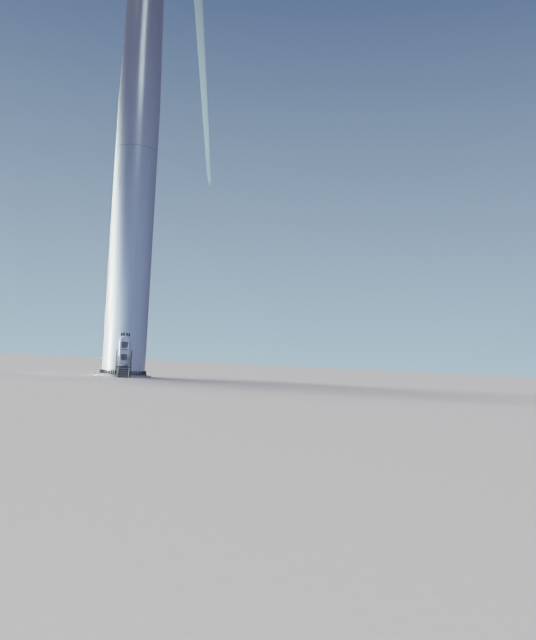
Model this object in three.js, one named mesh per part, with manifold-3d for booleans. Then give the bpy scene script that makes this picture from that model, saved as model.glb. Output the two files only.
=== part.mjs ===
// A three-bladed wind turbine with its tubular steel tower, entry stair and door, nacelle, hub and
// blades, as a 1:10 model. Every size below is a real size in metres, and the root group brings the
// whole turbine to the model's size in millimetres at the end.
//
// +Z is up and the entry door faces -Y. The origin is the centre of the plinth's underside, at
// ground level. The nacelle is drawn looking along +X and is turned about the tower to its heading.
import * as THREE from 'three';
import { mergeVertices } from 'three/addons/utils/BufferGeometryUtils.js';
import Module from 'manifold-3d';

const wasm = await Module();
wasm.setup();

// Scale and joints between pieces
const MODEL_SCALE = 1 / 10;
const MILLIMETRES = 1000;
const SEAM = 0.003;
const RUNNING_GAP = 0.005;

// Tower
const ROUND = 64;
const PLINTH = { radius: 2.8, height: 0.12, chamfer: 0.03 };
const BASE_FLANGE = { inner: 1.93, outer: 2.36, bottom: 0.12, top: 0.25 };
const ENTRY_TOP = 4.5;
const ENTRY_PLATES = { front: 14, right: 16, back: 18, left: 16 };
const LOWER_JOINT = 23.25;
const TAPER_START = 27.7;
const UPPER_JOINT = 49.0;
const TOWER_TOP = 77.6;
const BASE_RADIUS = 2.15;
const UPPER_JOINT_RADIUS = 1.68;
const TOP_RADIUS = 1.28;
const WALL = { bottom: 0.032, middle: 0.026, top: 0.02 };

// Door, frame and floor
const DOOR = { halfWidth: 0.425, sill: 1.15, head: 3.87 };
const FRAME_THICKNESS = 0.072;
const FRAME_FRONT = -2.26;
const FRAME_BACK = -2.03;
const GASKET = 0.005;
const LEAF_THICKNESS = 0.055;
const LEAF_LAP = 0.05;
const LEAF_FRONT = FRAME_FRONT - GASKET - LEAF_THICKNESS;
const HINGE = {
  x: 0.545, y: -2.29, pinRadius: 0.018, pinHalf: 0.09, knuckleRadius: 0.038, knuckleHalf: 0.055,
  heights: [1.8, 3.2],
};
const HINGE_ARM = { x: [0.505, 0.575], y: [-2.315, -2.2], offset: 0.08, half: 0.015 };
const HINGE_BACK = { end: 0.53, y: [-2.245, -2.2], half: 0.095 };
const LEAF_LUG_START = 0.42;
const DOOR_LOUVRE = { halfWidth: 0.33, thickness: 0.03, upper: [2.8, 3.46], lower: [1.56, 2.28] };
const HANDLE = {
  plate: { x: [-0.43, -0.36], z: [1.76, 2.16], thickness: 0.012 },
  grip: { x: [-0.415, -0.375], z: [1.82, 2.1], thickness: 0.02, bracket: 0.03, reach: 0.05 },
};
const VENT = { facets: 4, reach: 0.05, bottom: 3.99, top: 4.33 };
const FLOOR_THICKNESS = 0.06;
const FLOOR_GAP = 0.008;

// Entry stair
const PLATFORM = { top: 1.05, thickness: 0.04, halfWidth: 0.73, back: -2.155, front: -3.45 };
const RISER = 0.175;
const GOING = 0.25;
const TREADS = 5;
const TREAD_THICKNESS = 0.04;
const STRINGER = { inner: 0.48, outer: 0.53, depth: 0.25, lip: 0.02, foot: 0.06 };
const LEGS = { section: 0.06, inset: 0.01, rear: -2.58, beamDepth: 0.1, beamGap: 0.02 };
const RAIL = { height: 1.6, bar: 0.04, thickness: 0.04, toeBoard: 0.1, knee: 0.55, endGap: 0.02 };
const GUARD_BACK = -2.24;
const HANDRAIL = { below: 0.14, above: 1.1 };

// Nacelle
const HUB_HEIGHT = 80.0;
const OVERHANG = 4.4;
const SHAFT_TILT = THREE.MathUtils.degToRad(5);
const HEADING = THREE.MathUtils.degToRad(68);
const YAW_RING = { inner: 1.0, outer: 1.42, top: 77.85 };
const TURRET_RADIUS = 1.47;
const NACELLE = {
  bottom: 78.05, split: 79.7, roof: 81.9, rear: -7.55, halfWidth: 1.85, rise: 0.95, draw: 0.14,
  corner: 0.5, edge: 0.3,
};
const COVER_RISE_START = 2.8;
const COVER_DRAW = { frontStart: 0.4, frontEnd: 3, rearStart: 3.5 };
const COVER_STATIONS = [-6.4, -5.4, -4.4, -3.5, -2.8, -1.6, 0.4, 1.4];
const FRONT_PLANE = 1.47;
const REAR_LOUVRE = { half: 1.1, bottom: 80.0, top: 81.3, thickness: 0.06 };
const HATCH = { x: [-3.1, -1.9], half: 0.6, height: 0.12 };
const COOLER = { x: [-6.75, -6.35], half: 1.35, foot: 0.3, top: 1.25, bar: 0.1, recess: 0.08 };
const MAST = {
  x: -5.4, radius: 0.045, foot: 0.12, footHeight: 0.04, top: 1.5, armBottom: 1.3, armTop: 1.36, armHalf: 0.62,
  sensorY: 0.58, sensorTop: 1.75,
};
const LAMP = {
  x: -4.5, y: 0.9,
  profile: [[0, 0], [0.16, 0], [0.16, 0.12], [0.12, 0.14], [0.12, 0.3], [0.07, 0.36], [0, 0.38]],
};
const ROOF_RAIL = { from: -4.6, to: 1.4, height: 0.42, inset: 0.6 };

// Rotor
const CONE = THREE.MathUtils.degToRad(2.5);
const PARKED_AZIMUTH = THREE.MathUtils.degToRad(175);
const PARKED_PITCH = THREE.MathUtils.degToRad(17);
const SPINNER = {
  rear: -1.4, rearRadius: 1.5, shoulder: -0.75, shoulderRadius: 1.66, widest: -0.1, radius: 1.72, nose: 2.3,
  bluntness: 0.8, shell: 0.05, opening: 1.03, bossRadius: 0.4, bossEnd: 2.188,
};
const HOUSING = { rearRadius: 0.95, frontRadius: 0.9, front: -1.36 };
const HUB_RADIUS = 1.25;
const HUB_FLANGE_RADIUS = 0.85;
const STUB_END = 1.38;
const BEARING_END = 1.5;
const PITCH_RING = { inner: 0.7, outer: 0.98 };
const ROOT_RADIUS = 0.95;
const BLADE_START = BEARING_END + RUNNING_GAP;
const TIP_RADIUS = 57.65;
const ROOT_END = 3.5;
const WIDEST = 12;
const WIDEST_CHORD = 3.5;
const CHORD_TAPER = 0.0595;
const TIP_ROUND_START = 56.15;
const TIP_BLUNTNESS = 0.97;
const WIDEST_TWIST = THREE.MathUtils.degToRad(13);
const TWIST_FADE = 1.6;
const WIDEST_THICKNESS = 0.38;
const MIDDLE = { radius: 25, thickness: 0.25 };
const TIP_THICKNESS = 0.17;
const CAMBER = 0.08;
const ROOT_AXIS = 0.5;
const FOIL_AXIS = 0.68;
const PREBEND = 0.3;
const PREBEND_POWER = 2.5;
const BLADE_STATIONS = [BLADE_START, ROOT_END, 5.5, 7.5, 9.5, WIDEST, 15, 20, 26, 33, 41, 49, 54,
  TIP_ROUND_START, 56.85, 57.4, TIP_RADIUS];

// Paints and metals
const finish = (color, roughness, metalness) =>
  new THREE.MeshStandardMaterial({ color, roughness, metalness });
const towerPaint = finish(0xdfe3e2, 0.35, 0.0);
const bladePaint = finish(0xe6e9e9, 0.3, 0.0);
const coverPaint = finish(0xe2e5e4, 0.38, 0.0);
const doorPaint = finish(0xccd1d6, 0.42, 0.0);
const galvanised = finish(0x8f979c, 0.5, 0.85);
const darkSteel = finish(0x4a4f54, 0.5, 0.7);
const louvreGrey = finish(0x3c434b, 0.6, 0.3);
const concrete = finish(0xaaa69d, 0.9, 0.0);
const lampRed = finish(0xa6231c, 0.2, 0.0);

const turbine = new THREE.Group();

// Adds one named piece to a group.
function piece(parent, name, geometry, material) {
  const mesh = new THREE.Mesh(geometry, material);
  mesh.name = name;
  parent.add(mesh);
}

// A profile of [radius, height] points turned about Z. The first point of the ring faces -Y.
function turned(profile, segments = ROUND) {
  const points = profile.map(([radius, height]) => new THREE.Vector2(radius, height));
  return new THREE.LatheGeometry(points, segments).rotateX(Math.PI / 2);
}

// A ring of rectangular section about Z.
function ring(inner, outer, bottom, top, segments = ROUND) {
  return turned([[inner, bottom], [outer, bottom], [outer, top], [inner, top], [inner, bottom]], segments);
}

// A tube whose outer radius follows [radius, height] stations, with a wall of one thickness.
function tube(stations, wall) {
  const inside = stations.map(([radius, height]) => [radius - wall, height]).reverse();
  return turned([...stations, ...inside, stations[0]]);
}

function polygon(points) {
  return new THREE.Shape(points.map(([x, y]) => new THREE.Vector2(x, y)));
}

function prism(shape, depth, basis, start, curveSegments = 12) {
  const geometry = new THREE.ExtrudeGeometry(shape, { depth, bevelEnabled: false, curveSegments });
  return geometry.applyMatrix4(new THREE.Matrix4().makeBasis(...basis)).translate(...start);
}

const X = new THREE.Vector3(1, 0, 0);
const Y = new THREE.Vector3(0, 1, 0);
const Z = new THREE.Vector3(0, 0, 1);

// A shape drawn in Y and Z, run from x0 to x1.
const alongX = (shape, x0, x1) => prism(shape, x1 - x0, [Y, Z, X], [x0, 0, 0]);
// A shape drawn in X and Z, run from y0 to y1.
const alongY = (shape, y0, y1) => prism(shape, y1 - y0, [X, Z, Y.clone().negate()], [0, y1, 0]);
// A shape drawn in X and Y, run from z0 to z1.
const alongZ = (shape, z0, z1, segments) => prism(shape, z1 - z0, [X, Y, Z], [0, 0, z0], segments);

function box([x0, x1], [y0, y1], [z0, z1]) {
  return new THREE.BoxGeometry(x1 - x0, y1 - y0, z1 - z0)
    .translate((x0 + x1) / 2, (y0 + y1) / 2, (z0 + z1) / 2);
}

// A round bar on an axis parallel to Z.
function post(x, y, radius, z0, z1, segments = 16) {
  return new THREE.CylinderGeometry(radius, radius, z1 - z0, segments)
    .rotateX(Math.PI / 2)
    .translate(x, y, (z0 + z1) / 2);
}

// A sector of a ring between two angles in degrees, counted from +X, on the tower's facets.
function sector(inner, outer, from, to, z0, z1) {
  const start = THREE.MathUtils.degToRad(from);
  const end = THREE.MathUtils.degToRad(to);
  const shape = new THREE.Shape();
  shape.absarc(0, 0, outer, start, end, false);
  shape.absarc(0, 0, inner, end, start, true);
  shape.closePath();
  return alongZ(shape, z0, z1, Math.round((to - from) / (360 / ROUND)));
}

// A closed mesh as a solid for cutting and joining.
function solid(geometry) {
  const bare = geometry.clone();
  bare.deleteAttribute('normal');
  bare.deleteAttribute('uv');
  const merged = mergeVertices(bare, 1e-5);
  const corners = merged.index.array;
  const triangles = [];
  for (let i = 0; i < corners.length; i += 3) {
    const [a, b, c] = [corners[i], corners[i + 1], corners[i + 2]];
    if (a !== b && b !== c && c !== a) triangles.push(a, b, c);
  }
  return new wasm.Manifold(new wasm.Mesh({
    numProp: 3,
    vertProperties: Float32Array.from(merged.attributes.position.array),
    triVerts: Uint32Array.from(triangles),
  }));
}

function fromSolid(body) {
  const { vertProperties, triVerts } = body.getMesh();
  const geometry = new THREE.BufferGeometry();
  geometry.setAttribute('position', new THREE.BufferAttribute(vertProperties, 3));
  geometry.setIndex(new THREE.BufferAttribute(triVerts, 1));
  geometry.computeVertexNormals();
  return geometry;
}

function joined(...geometries) {
  return fromSolid(geometries.map(solid).reduce((whole, next) => whole.add(next)));
}

function cut(geometry, ...tools) {
  return fromSolid(tools.map(solid).reduce((whole, tool) => whole.subtract(tool), solid(geometry)));
}

// An upright outline with half-round ends, as the door, its frame and the hole for them have.
function roundEnded(halfWidth, bottom, top) {
  const shape = new THREE.Shape();
  shape.absarc(0, top - halfWidth, halfWidth, 0, Math.PI, false);
  shape.absarc(0, bottom + halfWidth, halfWidth, Math.PI, 2 * Math.PI, false);
  shape.closePath();
  return shape;
}

// The plinth is the part of the concrete foundation that stands above the ground, and the tower is
// bolted to it by the base flange.
function addTowerFoot() {
  const { radius, height, chamfer } = PLINTH;
  const profile = [[0, 0], [radius, 0], [radius, height - chamfer], [radius - chamfer, height], [0, height]];
  piece(turbine, 'foundation_plinth', turned(profile), concrete);
  const { inner, outer, bottom, top } = BASE_FLANGE;
  piece(turbine, 'base_flange', ring(inner, outer, bottom, top, 48), towerPaint);
}

// The lowest can of the tower is rolled from four plates, and the front one has the door's hole.
function addEntryWalls() {
  const facet = 360 / ROUND;
  const seam = THREE.MathUtils.radToDeg(SEAM / BASE_RADIUS) / 2;
  let from = -90 - facet * ENTRY_PLATES.front / 2;
  for (const [side, facets] of Object.entries(ENTRY_PLATES)) {
    const to = from + facets * facet;
    const inner = BASE_RADIUS - WALL.bottom;
    let wall = sector(inner, BASE_RADIUS, from + seam, to - seam, BASE_FLANGE.top, ENTRY_TOP);
    if (side === 'front') {
      const reach = FRAME_THICKNESS + SEAM;
      const hole = roundEnded(DOOR.halfWidth + reach, DOOR.sill - reach, DOOR.head + reach);
      wall = cut(wall, alongY(hole, -1.1 * BASE_RADIUS, -0.8 * BASE_RADIUS));
    }
    piece(turbine, `entry_wall_${side}`, wall, towerPaint);
    from = to;
  }
}

// Three bolted sections: straight to a little above the first joint, then tapering to the top.
function addTowerSections() {
  const bottom = [[BASE_RADIUS, ENTRY_TOP], [BASE_RADIUS, LOWER_JOINT]];
  const middle = [[BASE_RADIUS, LOWER_JOINT], [BASE_RADIUS, TAPER_START], [UPPER_JOINT_RADIUS, UPPER_JOINT]];
  const top = [[UPPER_JOINT_RADIUS, UPPER_JOINT], [TOP_RADIUS, TOWER_TOP]];
  piece(turbine, 'tower_bottom_section', tube(bottom, WALL.bottom), towerPaint);
  piece(turbine, 'tower_middle_section', tube(middle, WALL.middle), towerPaint);
  piece(turbine, 'tower_top_section', tube(top, WALL.top), towerPaint);
  const bearing = ring(YAW_RING.inner, YAW_RING.outer, TOWER_TOP, YAW_RING.top, 36);
  piece(turbine, 'yaw_bearing_ring', bearing, darkSteel);
}

// The frame is a thick collar through the wall, and the floor behind it meets the wall all round.
function addDoorway() {
  const outer = roundEnded(DOOR.halfWidth + FRAME_THICKNESS, DOOR.sill - FRAME_THICKNESS,
    DOOR.head + FRAME_THICKNESS);
  outer.holes.push(roundEnded(DOOR.halfWidth, DOOR.sill, DOOR.head));
  piece(turbine, 'door_frame', alongY(outer, FRAME_FRONT, FRAME_BACK), towerPaint);

  const floorRadius = BASE_RADIUS - WALL.bottom - FLOOR_GAP;
  const flat = Math.acos(-(FRAME_BACK + SEAM) / floorRadius);
  const floor = new THREE.Shape();
  floor.absarc(0, 0, floorRadius, -Math.PI / 2 + flat, 1.5 * Math.PI - flat, false);
  floor.closePath();
  piece(turbine, 'entry_floor', alongZ(floor, DOOR.sill - FLOOR_THICKNESS, DOOR.sill, 44), galvanised);

  const half = VENT.facets * (360 / ROUND) / 2;
  const face = BASE_RADIUS + VENT.reach;
  const grille = sector(BASE_RADIUS + SEAM, face, -90 - half, -90 + half, VENT.bottom, VENT.top);
  piece(turbine, 'vent_grille', grille, louvreGrey);
}

// Each hinge is a pin between two arms on a plate beside the frame.
function addHinges() {
  HINGE.heights.forEach((z, i) => {
    const pin = post(HINGE.x, HINGE.y, HINGE.pinRadius, z - HINGE.pinHalf, z + HINGE.pinHalf);
    const arms = [z - HINGE_ARM.offset, z + HINGE_ARM.offset].map((middle) =>
      box(HINGE_ARM.x, HINGE_ARM.y, [middle - HINGE_ARM.half, middle + HINGE_ARM.half]));
    const back = box([DOOR.halfWidth + FRAME_THICKNESS + SEAM, HINGE_BACK.end], HINGE_BACK.y,
      [z - HINGE_BACK.half, z + HINGE_BACK.half]);
    const name = i === 0 ? 'door_hinge_lower' : 'door_hinge_upper';
    piece(turbine, name, joined(pin, ...arms, back), darkSteel);
  });
}

// The leaf laps over the frame's front edge and swings on two knuckles. It has two louvres.
function addDoor() {
  const lap = roundEnded(DOOR.halfWidth + LEAF_LAP, DOOR.sill - LEAF_LAP, DOOR.head + LEAF_LAP);
  const panel = alongY(lap, LEAF_FRONT, LEAF_FRONT + LEAF_THICKNESS);
  const half = HINGE.knuckleHalf;
  const { x, y, knuckleRadius, pinRadius, heights } = HINGE;
  const lugDepth = [LEAF_FRONT + 0.01, LEAF_FRONT + LEAF_THICKNESS - 0.005];
  const lugs = heights.map((z) => box([LEAF_LUG_START, x], lugDepth, [z - half, z + half]));
  const knuckles = heights.map((z) => post(x, y, knuckleRadius, z - half, z + half, 20));
  const bores = heights.map((z) => post(x, y, pinRadius + SEAM, z - 1.1 * half, z + 1.1 * half));
  piece(turbine, 'door_leaf', cut(joined(panel, ...lugs, ...knuckles), ...bores), doorPaint);

  const face = LEAF_FRONT - SEAM;
  for (const place of ['upper', 'lower']) {
    const louvre = box([-DOOR_LOUVRE.halfWidth, DOOR_LOUVRE.halfWidth], [face - DOOR_LOUVRE.thickness, face],
      DOOR_LOUVRE[place]);
    piece(turbine, `door_louvre_${place}`, louvre, louvreGrey);
  }
  const { plate, grip } = HANDLE;
  const [low, high] = grip.z;
  const inside = face - plate.thickness + 0.004;
  piece(turbine, 'door_handle', joined(
    box(plate.x, [face - plate.thickness, face], plate.z),
    box(grip.x, [face - grip.reach, inside], [high - grip.bracket, high]),
    box(grip.x, [face - grip.reach, inside], [low, low + grip.bracket]),
    box(grip.x, [face - grip.reach, face - grip.reach + grip.thickness], grip.z),
  ), darkSteel);
}

// Height of the stringers' upper edge at a place along the flight.
const flightTop = (y) => PLATFORM.top + STRINGER.lip + (y - PLATFORM.front) * (RISER / GOING);

// The platform stands on four legs, and the flight leans on its front edge.
function addPlatform() {
  const { top, thickness, halfWidth, back, front } = PLATFORM;
  const deck = box([-halfWidth, halfWidth], [front, back], [top - thickness, top]);
  piece(turbine, 'stair_platform', deck, galvanised);

  const under = top - thickness - SEAM;
  const beam = [under - LEGS.beamDepth, under];
  const side = halfWidth - LEGS.inset;
  const left = [-side, -side + LEGS.section];
  const right = [side - LEGS.section, side];
  const near = [front + LEGS.inset, front + LEGS.inset + LEGS.section];
  const rear = [LEGS.rear, LEGS.rear + LEGS.section];
  const run = [front + LEGS.inset, back - LEGS.beamGap];
  piece(turbine, 'platform_frame', joined(
    box([-side, side], near, beam), box([-side, side], rear, beam),
    box(left, run, beam), box(right, run, beam),
    box(left, near, [0, under]), box(right, near, [0, under]),
    box(left, rear, [PLINTH.height + SEAM, under]), box(right, rear, [PLINTH.height + SEAM, under]),
  ), galvanised);
}

function addFlight() {
  const { inner, outer, depth } = STRINGER;
  const top = PLATFORM.front - SEAM;
  const foot = PLATFORM.front - TREADS * GOING - STRINGER.foot;
  const heel = PLATFORM.front - (flightTop(PLATFORM.front) - depth) / (RISER / GOING);
  const outline = polygon([
    [top, flightTop(top)], [top, flightTop(top) - depth], [heel, 0], [foot, 0], [foot, flightTop(foot)],
  ]);
  piece(turbine, 'stair_stringer_left', alongX(outline, -outer, -inner), galvanised);
  piece(turbine, 'stair_stringer_right', alongX(outline, inner, outer), galvanised);
  for (let step = 1; step <= TREADS; step += 1) {
    const back = PLATFORM.front - (TREADS - step) * GOING - SEAM;
    const height = step * RISER;
    const tread = box([-inner, inner], [back - GOING, back], [height - TREAD_THICKNESS, height]);
    piece(turbine, `stair_tread_${step}`, tread, galvanised);
  }
}

// A flat railing between two heights that may lean: two bays, a knee rail and a toe board. The run
// is alongX or alongY, and gives the bars their thickness.
function railing(start, end, lower, upper, run, from, to) {
  const { bar, toeBoard } = RAIL;
  const knee = (y) => lower(y) + RAIL.knee * (upper(y) - lower(y));
  const between = (a, b, low, high) => polygon([[a, low(a)], [b, low(b)], [b, high(b)], [a, high(a)]]);
  const bay = (end - start - 3 * bar) / 2;
  const levels = [
    [(y) => lower(y) + toeBoard, (y) => knee(y) - bar / 2],
    [(y) => knee(y) + bar / 2, (y) => upper(y) - bar],
  ];
  const gaps = [start + bar, start + 2 * bar + bay].flatMap((left) =>
    levels.map(([low, high]) => run(between(left, left + bay, low, high), from - bar, to + bar)));
  return cut(run(between(start, end, lower, upper), from, to), ...gaps);
}

function addRailings() {
  const { top, halfWidth, front } = PLATFORM;
  const near = STRINGER.outer + SEAM;
  const foot = front - TREADS * GOING - RAIL.endGap;
  const sides = { left: (a, b) => [-b, -a], right: (a, b) => [a, b] };
  for (const [side, place] of Object.entries(sides)) {
    const guard = railing(front + RAIL.endGap, GUARD_BACK, () => top, () => top + RAIL.height,
      alongX, ...place(halfWidth - RAIL.thickness, halfWidth));
    piece(turbine, `platform_guard_${side}`, guard, galvanised);
    const handrail = railing(foot, front - RAIL.endGap, (y) => flightTop(y) - HANDRAIL.below,
      (y) => flightTop(y) + HANDRAIL.above, alongX, ...place(near, near + RAIL.thickness));
    piece(turbine, `stair_handrail_${side}`, handrail, galvanised);
  }
}

// Where the nacelle's leaning front face stands at a height, square to the tilted shaft.
function frontAt(z) {
  const along = FRONT_PLANE + (z - HUB_HEIGHT) * Math.sin(SHAFT_TILT);
  return OVERHANG - along / Math.cos(SHAFT_TILT);
}

const smooth = (t) => t * t * (3 - 2 * t);
const ramp = (value, from, to) => Math.min(1, Math.max(0, (value - from) / (to - from)));

// A closed skin over rings of points, with a fan over each end.
function loft(rings) {
  const count = rings[0].length;
  const centre = (points) => points.reduce((sum, p) => sum.add(p), new THREE.Vector3()).divideScalar(count);
  const vertices = rings.flat();
  const first = vertices.length;
  const ends = [centre(rings[0]), centre(rings.at(-1))];
  const index = [];
  for (let i = 0; i < count; i += 1) {
    const next = (i + 1) % count;
    for (let level = 0; level < rings.length - 1; level += 1) {
      const a = level * count;
      const b = a + count;
      index.push(a + i, a + next, b + next, a + i, b + next, b + i);
    }
    const top = (rings.length - 1) * count;
    index.push(first, next, i, first + 1, top + i, top + next);
  }
  const geometry = new THREE.BufferGeometry().setFromPoints([...vertices, ...ends]);
  geometry.setIndex(index);
  geometry.computeVertexNormals();
  return geometry;
}

// One ring of the nacelle cover: a rectangle with round corners, drawn in from its full size by an
// inset. The underside rises to the rear, the sides draw in at both ends, and the front rings lean
// with the shaft.
function coverRing(x, inset, leans) {
  const { bottom, roof, rear, halfWidth, rise, draw, corner } = NACELLE;
  const low = bottom + rise * smooth(ramp(-x, COVER_RISE_START, -rear)) + inset;
  const high = roof - inset;
  const atFront = smooth(ramp(x, COVER_DRAW.frontStart, COVER_DRAW.frontEnd));
  const atRear = smooth(ramp(-x, COVER_DRAW.rearStart, -rear));
  const half = halfWidth - draw * (atFront + atRear) - inset;
  const radius = corner - inset * 0.6;
  const points = [];
  for (const [side, level, start] of [[-1, -1, 180], [1, -1, 270], [1, 1, 0], [-1, 1, 90]]) {
    const y = side * (half - radius);
    const z = (level < 0 ? low : high) - level * radius;
    for (let step = 0; step <= 5; step += 1) {
      const angle = THREE.MathUtils.degToRad(start + 18 * step);
      const height = z + radius * Math.sin(angle);
      const forward = leans ? frontAt(height) - x : x;
      points.push(new THREE.Vector3(forward, y + radius * Math.cos(angle), height));
    }
  }
  return points;
}

// The cover is one long body with rounded edges, parted along a level joint into two shells.
function nacelleCover() {
  const { rear, edge } = NACELLE;
  const round = [[0, edge], [0.3 * edge, 0.3 * edge], [edge, 0]];
  const rings = [
    ...round.map(([x, inset]) => coverRing(rear + x, inset, false)),
    ...COVER_STATIONS.map((x) => coverRing(x, 0, false)),
    ...round.toReversed().map(([x, inset]) => coverRing(x, inset, true)),
  ];
  return solid(loft(rings));
}

const nacelle = new THREE.Group();
nacelle.rotation.z = HEADING;
turbine.add(nacelle);

function addNacelle() {
  const { bottom, split, roof } = NACELLE;
  const under = YAW_RING.top + RUNNING_GAP;
  const seat = bottom - SEAM;
  const turret = turned([[0, under], [TURRET_RADIUS, under], [TURRET_RADIUS, seat], [0, seat]], 32);
  piece(nacelle, 'yaw_turret', turret, darkSteel);

  const cover = nacelleCover();
  const far = 12;
  const below = solid(box([-far, far], [-far, far], [bottom - 1, split - SEAM / 2]));
  const above = solid(box([-far, far], [-far, far], [split + SEAM / 2, roof + 1]));
  piece(nacelle, 'nacelle_lower_shell', fromSolid(cover.intersect(below)), coverPaint);
  piece(nacelle, 'nacelle_upper_shell', fromSolid(cover.intersect(above)), coverPaint);
}

// The cooler's frame stands on two feet, and its core fills the frame.
function addCooler(seat) {
  const { half, bar } = COOLER;
  const foot = NACELLE.roof + COOLER.foot;
  const top = NACELLE.roof + COOLER.top;
  const frame = polygon([
    [-half, seat], [bar - half, seat], [bar - half, foot], [half - bar, foot], [half - bar, seat],
    [half, seat], [half, top], [-half, top],
  ]);
  frame.holes.push(polygon([
    [bar - half, foot + bar], [half - bar, foot + bar], [half - bar, top - bar], [bar - half, top - bar],
  ]));
  piece(nacelle, 'cooler_frame', alongX(frame, ...COOLER.x), coverPaint);
  const coreHalf = half - bar - SEAM;
  const core = box([COOLER.x[0] + COOLER.recess, COOLER.x[1] - COOLER.recess], [-coreHalf, coreHalf],
    [foot + bar + SEAM, top - bar - SEAM]);
  piece(nacelle, 'cooler_core', core, louvreGrey);
}

// What stands on the roof and on the rear wall of the cover.
function addRoofEquipment() {
  const { roof, rear, halfWidth } = NACELLE;
  const seat = roof + SEAM;
  const { half, bottom, top, thickness } = REAR_LOUVRE;
  const louvre = box([rear - SEAM - thickness, rear - SEAM], [-half, half], [bottom, top]);
  piece(nacelle, 'rear_louvre', louvre, louvreGrey);
  const hatch = box(HATCH.x, [-HATCH.half, HATCH.half], [seat, seat + HATCH.height]);
  piece(nacelle, 'roof_hatch', hatch, coverPaint);
  addCooler(seat);

  const { x, radius, sensorY } = MAST;
  piece(nacelle, 'wind_sensor_mast', joined(
    post(x, 0, radius, seat, roof + MAST.top),
    post(x, 0, MAST.foot, seat, seat + MAST.footHeight),
    box([x - 0.03, x + 0.03], [-MAST.armHalf, MAST.armHalf], [roof + MAST.armBottom, roof + MAST.armTop]),
    post(x, -sensorY, radius, roof + MAST.armBottom + 0.03, roof + MAST.sensorTop),
    post(x, sensorY, radius, roof + MAST.armBottom + 0.03, roof + MAST.sensorTop),
  ), galvanised);
  piece(nacelle, 'obstruction_light', turned(LAMP.profile, 20).translate(LAMP.x, LAMP.y, seat), lampRed);

  const { from, to, height, inset } = ROOF_RAIL;
  const rails = { left: halfWidth - inset, right: inset - RAIL.thickness - halfWidth };
  for (const [side, near] of Object.entries(rails)) {
    const rail = railing(from, to, () => seat, () => seat + height, alongY, near, near + RAIL.thickness);
    piece(nacelle, `roof_rail_${side}`, rail, galvanised);
  }
}

const rotor = new THREE.Group();
rotor.position.set(OVERHANG, 0, HUB_HEIGHT);
rotor.rotation.y = -SHAFT_TILT;
nacelle.add(rotor);

// Turns a shape about Z into one about the shaft, which is the rotor's X.
const aboutShaft = (geometry) => geometry.rotateY(Math.PI / 2);

// Rotation that takes Z to a blade's axis, with the cone leaning it upwind, and X staying upwind.
const bladeAngles = (index) => [PARKED_AZIMUTH + index * (2 * Math.PI / 3), CONE];

function alongBlade(geometry, index) {
  const [azimuth, cone] = bladeAngles(index);
  return geometry.applyMatrix4(new THREE.Matrix4().makeRotationFromEuler(new THREE.Euler(azimuth, cone, 0)));
}

function addHub() {
  const back = -FRONT_PLANE + SEAM;
  const { rearRadius, frontRadius, front } = HOUSING;
  const housing = aboutShaft(turned([[0, back], [rearRadius, back], [frontRadius, front], [0, front]], 28));
  piece(rotor, 'main_bearing_housing', housing, darkSteel);

  const ball = new THREE.SphereGeometry(HUB_RADIUS, 20, 10);
  const flange = aboutShaft(post(0, 0, HUB_FLANGE_RADIUS, front + RUNNING_GAP, 0, 24));
  const noseBoss = aboutShaft(post(0, 0, SPINNER.bossRadius, 0, SPINNER.bossEnd, 16));
  const stubs = [0, 1, 2].map((i) => alongBlade(post(0, 0, ROOT_RADIUS, 0, STUB_END, 24), i));
  piece(rotor, 'hub_casting', joined(ball, flange, noseBoss, ...stubs), darkSteel);

  for (let i = 0; i < 3; i += 1) {
    const bearing = ring(PITCH_RING.inner, PITCH_RING.outer, STUB_END + SEAM, BEARING_END, 24);
    piece(rotor, `pitch_bearing_${i + 1}`, alongBlade(bearing, i), darkSteel);
  }
}

// The spinner widens a little from its rear rim to the blades and closes in a blunt nose. Its
// radius follows a quarter ellipse ahead of the blades.
function spinnerProfile(inset) {
  const { rear, rearRadius, shoulder, shoulderRadius, widest, radius, nose, bluntness } = SPINNER;
  const points = [[rearRadius - inset, rear], [shoulderRadius - inset, shoulder], [radius - inset, widest]];
  const steps = 6;
  for (let i = 1; i <= steps; i += 1) {
    const angle = (i / steps) * Math.PI / 2;
    const height = widest + (nose - inset - widest) * Math.sin(angle);
    points.push([i === steps ? 0 : (radius - inset) * Math.cos(angle) ** bluntness, height]);
  }
  return points;
}

function addSpinner() {
  const outside = spinnerProfile(0);
  const inside = spinnerProfile(SPINNER.shell).reverse();
  const shell = aboutShaft(turned([...outside, ...inside, outside[0]], 32));
  const reach = 1.5 * SPINNER.radius;
  const openings = [0, 1, 2].map((i) => alongBlade(post(0, 0, SPINNER.opening, 0.6, reach, 24), i));
  piece(rotor, 'spinner_shell', cut(shell, ...openings), coverPaint);
}

// Chord, relative thickness, twist and how far the section has changed from the root's circle.
function bladeSection(radius) {
  const change = smooth(ramp(radius, ROOT_END, WIDEST));
  const taper = WIDEST_CHORD - CHORD_TAPER * Math.max(0, radius - WIDEST);
  const tip = ramp(radius, TIP_ROUND_START, TIP_RADIUS);
  const root = 2 * ROOT_RADIUS;
  const chord = (root + (taper - root) * change) * Math.sqrt(1 - TIP_BLUNTNESS * tip * tip);
  const inboard = 1 + (WIDEST_THICKNESS - 1) * change;
  const toMiddle = (WIDEST_THICKNESS - MIDDLE.thickness) * ramp(radius, WIDEST, MIDDLE.radius);
  const toTip = (MIDDLE.thickness - TIP_THICKNESS) * ramp(radius, MIDDLE.radius, TIP_RADIUS);
  const outboard = WIDEST_THICKNESS - toMiddle - toTip;
  const thickness = radius < WIDEST ? inboard : outboard;
  const twist = WIDEST_TWIST * (radius < WIDEST ? 1 : (1 - ramp(radius, WIDEST, TIP_RADIUS)) ** TWIST_FADE);
  return { change, chord, thickness, twist };
}

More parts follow.
